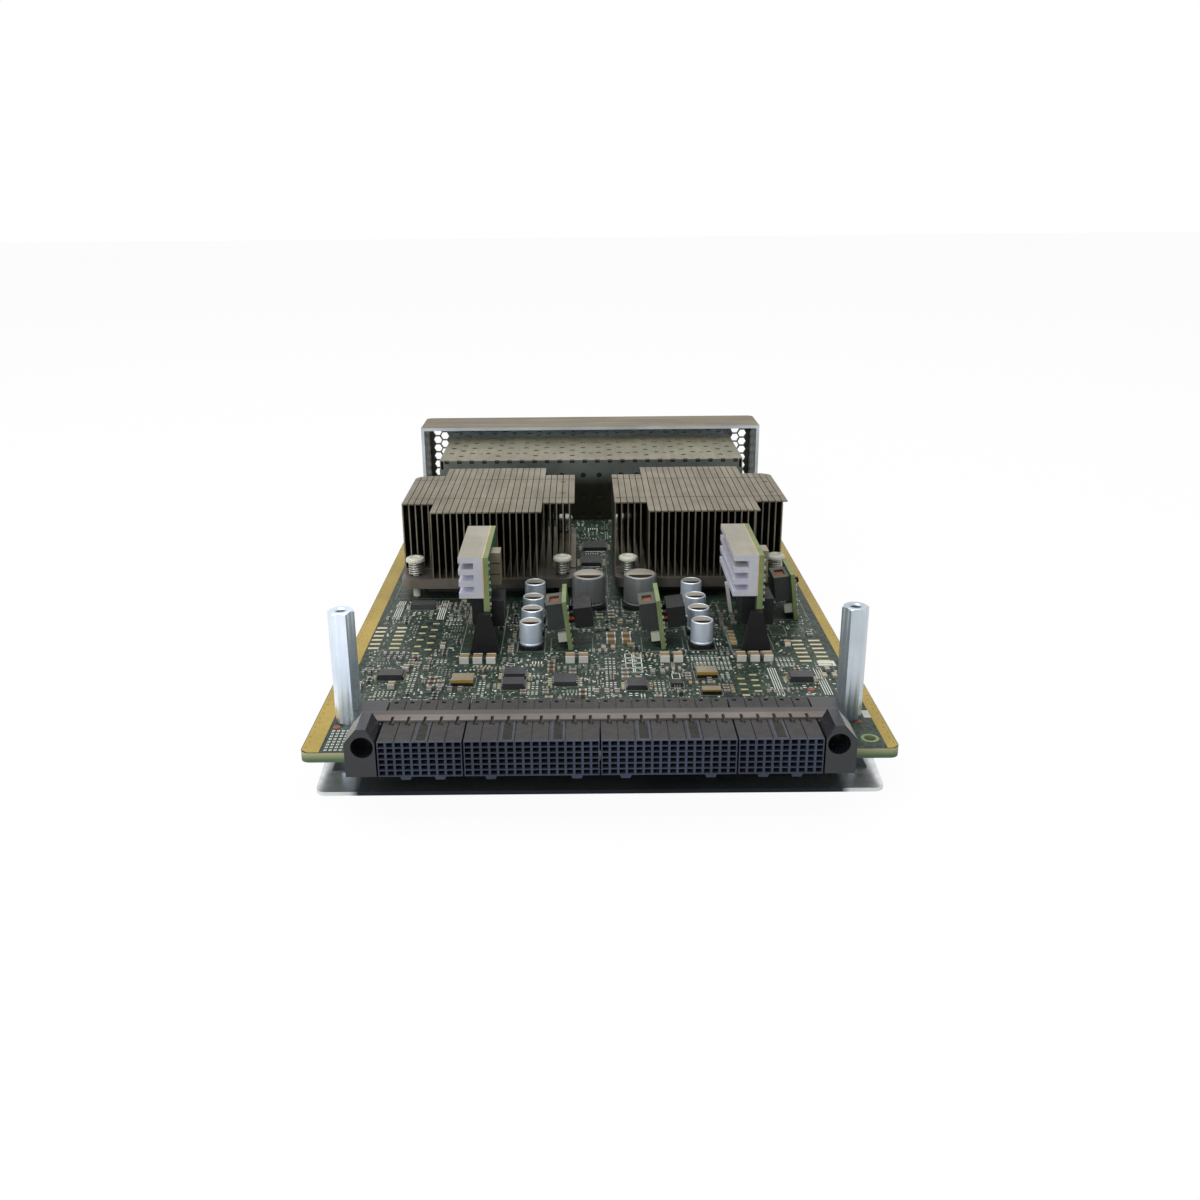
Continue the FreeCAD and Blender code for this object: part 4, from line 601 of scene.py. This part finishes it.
def push_pins():
    """Nylon pins with domed heads, dished in the middle, and the coils under them."""
    pins, coils = bmesh.new(), bmesh.new()
    shank, wire = 1.2 * MM, 0.25 * MM
    for low, high in solids_of("push_pins"):
        centre = (low + high) / 2
        radius = (high.x - low.x) / 2
        head = high.z - 1.4 * MM
        profile = [(shank * 0.5, low.z), (1.6 * MM, low.z + 2.4 * MM), (shank, low.z + 2.7 * MM),
                   (shank, head), (radius * 0.94, head), (radius, head + 0.25 * MM),
                   (radius, head + 0.7 * MM), (radius * 0.93, head + 1.1 * MM),
                   (radius * 0.8, high.z - 0.06 * MM), (radius * 0.55, high.z),
                   (radius * 0.42, high.z - 0.35 * MM), (0, high.z - 0.4 * MM)]
        add_turned(pins, Vector((centre.x, centre.y, 0)), profile, 28)
    for low, high in solids_of("push_pin_springs"):
        centre = (low + high) / 2
        radius = (high.x - low.x) / 2 - wire
        foot = Vector((centre.x, centre.y, low.z + wire))
        add_coil(coils, foot, radius, wire, high.z - low.z - 2 * wire, 5)
    piece = make_piece("nylon_push_pins", pins, ["white"], 30)
    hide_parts("push_pins")
    piece = make_piece("push_pin_coils", coils, ["spring"], 180)
    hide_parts("push_pin_springs")


def captive_coils():
    """Round-wire springs of the thumbscrews."""
    along_y = Matrix.Rotation(math.radians(-90), 3, "X")
    wire = 0.3 * MM
    for side in ("left", "right"):
        node = f"captive_spring_{side}"
        low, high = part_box(node)
        centre = (low + high) / 2
        radius = (high.x - low.x) / 2 - wire
        shape = bmesh.new()
        foot = Vector((centre.x, low.y + wire, centre.z))
        add_coil(shape, foot, radius, wire, high.y - low.y - 2 * wire, 4, along_y)
        piece = make_piece(f"thumbscrew_coil_{side}", shape, ["spring"], 180)
        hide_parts(node)
        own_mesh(piece)


def pillars():
    """Hexagonal pillars with turned-off corners and a threaded hole."""
    bore, stud = 1.25 * MM, 1.5 * MM
    for side in ("left", "right"):
        node = f"standoff_{side}"
        low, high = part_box(node)
        centre = (low + high) / 2
        flats = (high.y - low.y) / 2
        corner = flats / math.cos(math.radians(30))
        chamfer = (corner - flats) * 0.8
        top = high.z

        def hexagon(limit):
            def radius_at(angle):
                sector = (angle + math.radians(30)) % math.radians(60) - math.radians(30)
                return min(flats / math.cos(math.radians(30) - abs(sector)), limit)
            return radius_at

        profile = [(stud * 0.8, low.z), (stud, low.z + 0.4 * MM), (stud, BOARD_TOP), (flats, BOARD_TOP),
                   (hexagon(corner), BOARD_TOP + chamfer), (hexagon(corner), top - chamfer),
                   (hexagon(flats * 1.01), top - 0.08 * MM), (flats * 0.96, top),
                   (bore * 1.3, top), (bore, top - 0.4 * MM), (bore, top - 8 * MM)]
        shape = bmesh.new()
        add_turned(shape, Vector((centre.x, centre.y, 0)), profile, 48)
        piece = make_piece(f"hex_pillar_{side}", shape, ["zinc"], 20)
        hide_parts(node)


# Print, pads and small parts on the main board

# x, y, rows, pitch, width, depth
PAD_GRIDS = [
    (-62.0, 62.6, 6, 3.1, 2.9, 1.1), (-56.2, 62.6, 6, 3.1, 2.9, 1.1),
    (56.2, 51.0, 6, 2.9, 3.2, 1.0), (61.2, 51.0, 6, 2.9, 3.2, 1.0),
    (37.3, 29.4, 4, 3.4, 1.9, 0.9), (40.7, 31.8, 4, 3.4, 1.9, 0.9),
    (-49.8, 58.6, 5, 5.0, 1.9, 1.0), (-46.6, 61.2, 5, 5.0, 1.9, 1.0),
]
# x, y
COPPER_MARKS = [(-62.3, 13.3), (61.8, 14.2), (54.2, 32.8)]
# x, y, width, depth
SILK_BLOCKS = [(61.4, 49.2, 4.6, 3.6), (65.2, 18.0, 3.0, 4.0), (0.8, 150.6, 7.0, 0.6),
               (-0.6, 133.4, 5.6, 0.6), (0.8, 161.0, 6.0, 0.5), (-0.6, 144.0, 5.2, 0.5)]
# x, near end, far end
STRIPE_BUNDLES = [(45.9, 29.3, 46.4), (57.9, 29.1, 46.2), (-59.4, 84.6, 101.0), (-46.2, 84.6, 101.0)]
# left, near, right and far side
PRINTED_OUTLINES = [
    (-62.0, 103.0, -3.6, 157.0), (4.4, 103.0, 62.9, 157.0), (-37.4, 58.0, -26.2, 97.0),
    (37.2, 59.3, 49.0, 97.0), (-12.5, 58.8, -0.9, 69.2), (12.8, 58.6, 24.3, 68.6), (52.2, 82.1, 62.9, 98.0),
]
# x, near end, far end, columns
PAD_COLUMNS = [(-48.0, 29.7, 54.0, 2), (-29.7, 30.3, 45.0, 2), (-16.5, 31.1, 45.7, 3), (-1.5, 29.8, 37.0, 2),
               (3.6, 29.7, 55.5, 3), (15.9, 29.4, 40.7, 3), (-42.4, 52.0, 56.5, 4), (-22.4, 52.1, 56.4, 5),
               (28.0, 46.0, 57.0, 5), (33.4, 46.0, 57.0, 5), (-41.5, 80.5, 86.6, 5), (50.6, 47.8, 55.6, 5)]
# left, near, right and far side, number of clusters tried
PRINT_ZONES = [
    (-62.0, 14.5, 63.0, 57.0, 1500), (-62.0, 57.0, -38.5, 103.0, 260), (-25.8, 57.0, 37.0, 104.0, 620),
    (49.4, 57.0, 63.0, 103.0, 140), (-60.0, 104.0, 60.0, 188.0, 700), (-12.0, 118.0, 12.0, 190.0, 130),
    (-62.0, 188.0, 62.0, 234.0, 60),
]


def flat_marks():
    """Gold ground strips, pads, vias and copper marks on the board's top."""
    gold = bmesh.new()
    inner = {-1: 63.9, 1: 65.4}
    outer = BOARD_HALF / MM - 0.15
    edge_start, edge_end, strip_thick = 2.4, 228.0, 0.035
    for side in (-1, 1):
        low_x, high_x = sorted((side * inner[side], side * outer))
        add_box(gold, spot(low_x, edge_start), spot(high_x, edge_end, strip_thick))
        cut = [(side * inner[side], 0.3), (side * (outer - 1.6), 0.3), (side * outer, 1.6),
               (side * outer, edge_start), (side * inner[side], edge_start)]
        corners = [tuple(spot(x, y)[:2]) for x, y in cut[::side]]
        add_outline(gold, corners, BOARD_TOP, BOARD_TOP + strip_thick * MM)
    make_piece("ground_strips", gold, ["gold"])

    vias = bmesh.new()
    via_rows, via_pitch, shift = 88, 2.55, 0.35
    profile = [(0.24 * MM, 0.03 * MM), (0.2 * MM, 0.045 * MM)]
    for side in (-1, 1):
        for row in range(via_rows):
            x = side * (BOARD_HALF / MM - 0.9 - shift * (row % 2))
            add_turned(vias, spot(x, 3.0 + row * via_pitch), profile, 8)
    make_piece("edge_vias", vias, ["via"])

    copper = bmesh.new()
    for x, y in COPPER_MARKS:
        add_turned(copper, spot(x, y), [(0.95 * MM, 0.02 * MM), (0.9 * MM, 0.05 * MM)], 20)
    make_piece("copper_marks", copper, ["copper"])

    pads = bmesh.new()
    for x, y, rows, pitch, wide, deep in PAD_GRIDS:
        for row in range(rows):
            add_plate(pads, x, y + row * pitch, wide, deep, 0.05)
    make_piece("bare_pads", pads, ["pad"])


def outline_of(low, high, margin):
    """The sides of a box seen from above, in millimetres on the board, with a margin."""
    return (low.x / MM - margin, (low.y - BOARD_FRONT) / MM - margin,
            high.x / MM + margin, (high.y - BOARD_FRONT) / MM + margin)


def footprints():
    """Boxes on the board that carry a CAD piece, as millimetres with a margin."""
    margin = 0.6
    skip = {"main_board", "bottom_tray", "tray_film", "tray_spacers", "faceplate", "power_left_heat_sink",
            "power_right_heat_sink"}
    taken = []
    for node in NODES:
        if node in skip:
            continue
        for low, high in solids_of(node):
            if high.z >= BOARD_TOP and low.z <= BOARD_TOP + 6 * MM:
                taken.append(outline_of(low, high, margin))
    for x, y, rows, pitch, wide, deep in PAD_GRIDS:
        taken.append((x - wide / 2 - margin, y - deep, x + wide / 2 + margin, y + rows * pitch))
    return taken


def is_free(taken, x, y, wide, deep):
    """Whether a mark at x, y stays clear of what is taken."""
    for low_x, low_y, high_x, high_y in taken:
        if low_x - wide / 2 < x < high_x + wide / 2 and low_y - deep / 2 < y < high_y + deep / 2:
            return False
    return True


# length, width, height
CHIP_SIZES = [(1.0, 0.5, 0.4), (1.0, 0.5, 0.4), (1.6, 0.8, 0.6), (2.0, 1.25, 0.8)]


def small_parts(taken):
    """Rows of tiny chip parts with tinned ends, in small lined-up families."""
    shape = bmesh.new()
    edge, families, tinned = 62.0, 420, 4
    for family in range(families):
        x = dice.uniform(-edge, edge)
        y = dice.uniform(15.0, 190.0) if dice.random() < 0.3 else dice.uniform(14.0, 104.0)
        upright = dice.random() < 0.5
        long_side, short_side, tall = dice.choice(CHIP_SIZES)
        look = dice.choice([0, 1, 1, 2, 2, 2, 3])
        wide, deep = (short_side, long_side) if upright else (long_side, short_side)
        cap, pitch = long_side * 0.25, short_side * 2.1
        for step in range(dice.randint(1, 5)):
            px, py = (x + step * pitch, y) if upright else (x, y + step * pitch)
            if abs(px) > edge or not is_free(taken, px, py, wide, deep):
                continue
            half_x, half_y = wide / 2 + 0.15, deep / 2 + 0.15
            taken.append((px - half_x, py - half_y, px + half_x, py + half_y))
            bare = (wide * 0.94, deep - 2 * cap) if upright else (wide - 2 * cap, deep * 0.94)
            add_plate(shape, px, py, *bare, tall * 0.96, look)
            for side in (-1, 1):
                shift = side * (long_side - cap) / 2
                if upright:
                    add_plate(shape, px, py + shift, wide, cap, tall, tinned)
                else:
                    add_plate(shape, px + shift, py, cap, deep, tall, tinned)
    make_piece("tiny_chip_parts", shape, ["brown", "package", "gray", "tan", "silver"])


# Across and along pitch, width and depth of one mark; strokes draw their own depth.
CLUSTER_SIZES = {"strokes": (0.8, 2.4, 0.3, 0), "pairs": (1.5, 1.2, 0.8, 0.5), "dots": (1.0, 1.2, 0.45, 0.55),
                 "frame": (1.2, 1.8, 0.6, 0.8)}


def print_cluster(shape, taken, x, y, look):
    """One small family of printed marks: strokes, pad pairs, dots or a frame."""
    kind = dice.choice(["strokes", "strokes", "pairs", "pairs", "dots", "frame"])
    columns, rows = dice.randint(2, 6), dice.randint(1, 4)
    pitch_x, pitch_y, wide, deep = CLUSTER_SIZES[kind]
    if kind == "strokes":
        deep = dice.uniform(1.2, 2.0)
    across, along = columns * pitch_x, rows * pitch_y
    if not is_free(taken, x + across / 2, y + along / 2, across, along):
        return
    taken.append((x, y, x + across, y + along))
    if kind == "frame":
        line = 0.2
        add_rectangle(shape, x + line, y + line, x + across - line, y + along - line, line, look)
        return
    for column in range(columns):
        for row in range(rows):
            if dice.random() < 0.9:
                add_mark(shape, x + (column + 0.5) * pitch_x, y + (row + 0.5) * pitch_y, wide, deep, look)


def white_print(taken):
    """White printed outlines, strokes and blocks between the parts, with no lettering."""
    shape = bmesh.new()
    white, thin, dark = range(3)
    for x, y, wide, deep in SILK_BLOCKS:
        add_mark(shape, x, y, wide, deep)
    stripes = 4
    for x, low_y, high_y in STRIPE_BUNDLES:
        for step in range(stripes):
            add_mark(shape, x + step * 0.6 - 0.7, (low_y + high_y) / 2, 0.24, high_y - low_y)
        taken.append((x - 1.2, low_y, x + 1.8, high_y))
    for outline in PRINTED_OUTLINES:
        add_rectangle(shape, *outline, 0.22, thin)
    # Two columns of small frames beside the middle of the board
    for row in range(4):
        for column in range(2):
            low_x, low_y = 7.8 + column * 2.4, 44.4 + row * 3.3
            add_rectangle(shape, low_x, low_y, low_x + 1.9, low_y + 2.6, 0.3)
    # A field of holed pads and its border at the near left corner
    for row in range(8):
        for column in range(6):
            x, y = -62.6 + column * 1.15, 1.4 + row * 1.4
            add_mark(shape, x, y, 0.66, 0.72)
            add_mark(shape, x, y, 0.24, 0.26, dark, 0.03)
    add_mark(shape, -55.8, 6.5, 0.3, 11.0)
    pitch_x, pitch_y = 1.05, 1.15
    for x, low_y, high_y, columns in PAD_COLUMNS:
        for row in range(int((high_y - low_y) / pitch_y)):
            for column in range(columns):
                px, py = x + (column - (columns - 1) / 2) * pitch_x, low_y + row * pitch_y
                if is_free(taken, px, py, 0.6, 0.5):
                    add_mark(shape, px, py, 0.62, 0.52, thin if row % 3 == 2 else white)
        half = columns * 0.55
        taken.append((x - half, low_y, x + half, high_y))
    gap = 0.5
    for node in ["small_chips", "oscillators"] + CAN_NODES:
        for low, high in solids_of(node):
            add_rectangle(shape, *outline_of(low, high, gap), 0.2, thin)
    for low_x, low_y, high_x, high_y, tries in PRINT_ZONES:
        for number in range(tries):
            look = white if dice.random() < 0.45 else thin
            x, y = dice.uniform(low_x, high_x - 3), dice.uniform(low_y, high_y - 2)
            print_cluster(shape, taken, x, y, look)
        for number in range(tries * 2):
            x, y = dice.uniform(low_x, high_x), dice.uniform(low_y, high_y)
            if is_free(taken, x, y, 0.5, 0.5):
                wide, deep = dice.uniform(0.25, 0.6), dice.uniform(0.25, 0.9)
                add_mark(shape, x, y, wide, deep, dice.choice([white, thin, thin]))
    make_piece("white_print", shape, ["silk", "silk_thin", "void"])


def tooling_ring():
    """Bare light ring round the tooling hole at the near right corner."""
    shape = bmesh.new()
    centre = spot(BOARD_HALF / MM - 5.75, 5.2, 0.03)
    inner, outer = [add_ring(shape, centre, radius * MM, 0, 32) for radius in (1.36, 2.1)]
    bridge(shape, outer, inner, from_upper=True)
    make_piece("tooling_hole_ring", shape, ["board_edge"])


def gull_wings():
    """Bent leads along two sides of each flat package, each on its pad."""
    shape = bmesh.new()
    reach = 0.9 * MM
    for low, high in solids_of("small_chips"):
        size = high - low
        ends_only = high.y < spot(0, 100).y and size.x > 4 * MM
        along = 1 if ends_only or size.y > size.x else 0
        across = 1 - along
        pitch = 1.27 * MM if size[along] > 5.5 * MM else 0.65 * MM
        count = max(3, int(size[along] / pitch - 0.4))
        start = (low[along] + high[along]) / 2 - (count - 1) * pitch / 2
        half = pitch * 0.2
        knee = low.z + size.z * 0.5

        def bar(middle, half, first, last, bottom, top, look=0):
            corners = [0, 0, bottom], [0, 0, top]
            for corner, shift, edge in zip(corners, (-half, half), sorted((first, last))):
                corner[along], corner[across] = middle + shift, edge
            add_box(shape, *corners, look)

        for number in range(count):
            middle = start + number * pitch
            for out, face in ((-reach, low[across]), (reach, high[across])):
                bar(middle, half, face, face + out * 0.45, knee - 0.1 * MM, knee + 0.05 * MM)
                bar(middle, half, face + out * 0.35, face + out * 0.55, low.z, knee + 0.05 * MM)
                bar(middle, half, face + out * 0.45, face + out, low.z, low.z + 0.14 * MM)
                bar(middle, half * 1.4, face + out * 0.4, face + out * 1.7, low.z, low.z + 0.03 * MM, 1)
    make_piece("package_leads", shape, ["silver", "pad"])


# Parts on the upright modules and the heat sinks

INTERLOCK_SLOTS = [(-9.8, 138.0), (-9.6, 123.5), (57.1, 136.2), (57.0, 122.4), (7.6, 142.9), (8.0, 116.6)]


def upright_details():
    """Copper windows, tinned joints and small parts on the upright modules, and slots on the heat sinks."""
    looks = ["copper", "white", "silver", "void", "adhesive", "pad", "cap_end", "enamel"]
    copper, white, silver, void, adhesive, pad, cap_end, enamel = range(len(looks))
    lean = Matrix.Rotation(math.radians(-7), 4, "Y")
    shape = bmesh.new()
    for low, high in solids_of("regulator_boards"):
        place = Matrix.Translation(Vector((low.x + 1.73 * MM, low.y, BOARD_TOP))) @ lean

        def part(corner_low, corner_high, look):
            add_box(shape, Vector(corner_low) * MM, Vector(corner_high) * MM, look, place)

        part((-3.6, 4.6, 12.2), (-1.1, 8.6, 12.6), copper)
        part((-2.4, 1.2, 2.2), (-0.05, 3.0, 4.6), white)
        part((-2.4, 1.2, 1.6), (-0.05, 3.0, 2.2), void)
        if low.x < 40 * MM:
            part((1.2, 2.6, 7.9), (2.72, 4.0, 8.6), enamel)
        else:
            part((1.2, 0.3, 11.6), (2.2, 1.6, 12.9), void)
        for row in range(8):
            z = 1.0 + row * 1.6 + dice.uniform(-0.3, 0.3)
            part((1.2, 0.1, z), (1.2 + dice.uniform(0.25, 0.5), 0.9, z + dice.uniform(0.4, 0.8)), silver)
    line, glue, rim = 0.02 * MM, 0.55 * MM, 0.18 * MM
    for side in ("left", "right"):
        low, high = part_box(f"power_{side}_board")
        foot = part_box(f"power_{side}_heat_sink")[0].z
        for row in range(13):
            z = low.z + (2.0 + row * 1.9 + dice.uniform(-0.5, 0.5)) * MM
            deep = dice.uniform(0.3, 0.6) * MM
            far_corner = (high.x + deep, low.y + 1.0 * MM, z + deep * 1.2)
            add_box(shape, (high.x, low.y + 0.2 * MM, z), far_corner, silver)
        add_box(shape, (low.x, low.y - line, foot), (low.x + glue, low.y + line, high.z), adhesive)
        add_box(shape, (low.x, low.y - line, high.z - line), (low.x + glue, high.y, high.z + line), adhesive)
        add_box(shape, (low.x, low.y - 2 * line, foot), (low.x + rim, low.y, high.z + line), pad)
        add_box(shape, (low.x, low.y - line, high.z), (low.x + rim, high.y, high.z + 2 * line), pad)
    # Flat dark marks on the heat-sink tops paint the shade inside the interlock slots.
    for x, y in INTERLOCK_SLOTS:
        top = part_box("heat_sink_fins_" + ("left" if x < 0 else "right"))[1].z
        slot_low, slot_high = spot(x - 0.8, y - 0.35), spot(x + 0.8, y + 0.35)
        slot_low.z, slot_high.z = top - 0.03 * MM, top + 0.02 * MM
        add_box(shape, slot_low, slot_high, void)
    tilt = Matrix.Translation(spot(40.3, 88.0)) @ Matrix.Rotation(math.radians(-9), 4, "Y")
    add_box(shape, (0, 0, 0), (0.9 * MM, 3.2 * MM, 9.0 * MM), cap_end, tilt)
    make_piece("module_details", shape, looks)


FOOT_PLACES = [-42.3, -34.8, -23.8, -5.1, 5.5, 24.0, 35.4, 42.7]


def connector_feet():
    """Small moulded feet below the connector's overhanging nose."""
    shape = bmesh.new()
    nose, taper = -11.4, 0.25
    for x in FOOT_PLACES:
        low, high = spot(x - 1.3, nose, -0.75), spot(x + 1.3, nose + 3.4, 0.06)
        points = add_box(shape, low, high)
        for point in points[:4]:
            point.co.x += (spot(x, 0).x - point.co.x) * taper
    make_piece("connector_feet", shape, ["slate"])


MODULE_COLUMNS = {1: 10, 2: 16, 3: 16, 4: 10}
RECESSED_PAIRS = {10: [2], 16: [2, 5]}


def connector_tops():
    """Contact slots and shallow recesses in the top of the contact modules, drawn as flat dark marks that
    paint the shade inside them.
    """
    shape = bmesh.new()
    looks = ["void", "recess", "rim"]
    void, recess, rim = range(len(looks))
    back = STIFF_LOW.y / MM
    for number, columns in MODULE_COLUMNS.items():
        low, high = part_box(f"contact_module_{number}")
        front = low.y / MM
        pair = 2 * (high.x - low.x) / columns

        def field(x, near, far, half, look, lift=0.02):
            near_corner = ((x - half) * MM, near * MM, high.z - 0.02 * MM)
            far_corner = ((x + half) * MM, far * MM, high.z + lift * MM)
            add_box(shape, near_corner, far_corner, look)

        for index in range(columns // 2):
            x = (low.x + pair * (index + 0.45)) / MM
            field(x - 0.08, back - 1.7, back + 2.3, 0.32, void)
            field(x + 0.6, back - 2.0, back - 0.9, 0.24, void)
        for index in RECESSED_PAIRS[columns]:
            x = (low.x + pair * (index + 0.55)) / MM
            field(x, front + 1.2, back - 1.8, 1.0, recess)
            for side in (-1, 1):
                field(x + side * 1.25, front + 0.3, back - 0.3, 0.22, rim, 0.05)
    make_piece("contact_slots", shape, looks)


def build():
    dress_cad()
    can_capacitors()
    chip_capacitors()
    push_pins()
    captive_coils()
    pillars()
    flat_marks()
    taken = footprints()
    small_parts(taken)
    white_print(taken)
    gull_wings()
    upright_details()
    tooling_ring()
    connector_feet()
    connector_tops()


# Stage, light and camera

def stage():
    """A pale floor that stays white in the picture and keeps the object's shadow."""
    floor_mesh = bpy.data.meshes.new("floor")
    reach = 3.0
    floor_mesh.from_pydata([(-reach, -reach, 0), (reach, -reach, 0), (reach, reach, 0), (-reach, reach, 0)],
                           [], [(0, 1, 2, 3)])
    floor = bpy.data.objects.new("floor", floor_mesh)
    bpy.context.scene.collection.objects.link(floor)
    paper = Graph("floor_paper")
    paper.shader.inputs["Base Color"].default_value = (0.92, 0.92, 0.92, 1)
    paper.shader.inputs["Roughness"].default_value = 0.9
    glow = paper.add("ShaderNodeEmission")
    rays = paper.add("ShaderNodeLightPath")
    blend = paper.add("ShaderNodeMixShader")
    paper.link(paper.times(rays.outputs["Is Camera Ray"], 0.95), blend.inputs[0])
    paper.link(paper.shader.outputs[0], blend.inputs[1])
    paper.link(glow.outputs[0], blend.inputs[2])
    paper.link(blend.outputs[0], paper.tree.nodes["Material Output"].inputs["Surface"])
    floor_mesh.materials.append(paper.material)


def surround():
    """A surround that is white to the eye and in reflections, and lights the object softly."""
    world = bpy.data.worlds.new("surround")
    bpy.context.scene.world = world
    world.use_nodes = True
    tree = world.node_tree
    background = tree.nodes["Background"]
    background.inputs["Color"].default_value = (1, 1, 1, 1)
    rays = tree.nodes.new("ShaderNodeLightPath")
    seen = rays.outputs["Is Camera Ray"]
    for kind in ("Is Glossy Ray", "Is Transmission Ray"):
        either = tree.nodes.new("ShaderNodeMath")
        either.operation = "MAXIMUM"
        tree.links.new(seen, either.inputs[0])
        tree.links.new(rays.outputs[kind], either.inputs[1])
        seen = either.outputs[0]
    level = tree.nodes.new("ShaderNodeMapRange")
    level.inputs["To Min"].default_value = 0.42
    tree.links.new(seen, level.inputs["Value"])
    tree.links.new(level.outputs["Result"], background.inputs["Strength"])


def lamp(name, place, target, size, power):
    light = bpy.data.lights.new(name, "AREA")
    light.shape = "RECTANGLE"
    light.size, light.size_y = size
    light.energy = power
    lamp_object = bpy.data.objects.new(name, light)
    bpy.context.scene.collection.objects.link(lamp_object)
    lamp_object.location = place
    lamp_object.rotation_euler = (Vector(target) - Vector(place)).to_track_quat("-Z", "Y").to_euler()


def lights():
    lamp("top_soft", (-0.1, 0.0, 0.85), (0, 0.02, 0), (0.9, 0.9), 5.5)
    lamp("front_soft", (-0.4, -0.75, 0.4), (0, 0, 0.02), (0.5, 0.4), 3.2)


def camera():
    """The camera that was fitted to the photograph."""
    focal_pixels, picture = 1148.24, 1200
    centre_x, centre_y = 580.49, 578.26
    pitch, yaw, roll = math.radians(-18.78), math.radians(-0.138), math.radians(-0.542)
    place = spot(-3.414, -233.897, 120.89)
    forward = Vector((math.sin(yaw) * math.cos(pitch), math.cos(yaw) * math.cos(pitch), math.sin(pitch)))
    right = Vector((math.cos(yaw), -math.sin(yaw), 0))
    up = right.cross(forward)
    turned_right = right * math.cos(roll) + up * math.sin(roll)
    turned_up = up * math.cos(roll) - right * math.sin(roll)
    data = bpy.data.cameras.new("view")
    data.sensor_width = 36
    data.sensor_fit = "HORIZONTAL"
    data.lens = focal_pixels * data.sensor_width / picture
    data.shift_x = (picture / 2 - centre_x) / picture
    data.shift_y = (centre_y - picture / 2) / picture
    data.clip_start = 0.01
    view = bpy.data.objects.new("view", data)
    bpy.context.scene.collection.objects.link(view)
    turn = Matrix((turned_right, turned_up, -forward)).transposed().to_4x4()
    view.matrix_world = Matrix.Translation(place) @ turn
    bpy.context.scene.camera = view


build()
stage()
surround()
lights()
camera()
bpy.context.scene.view_settings.view_transform = "Standard"
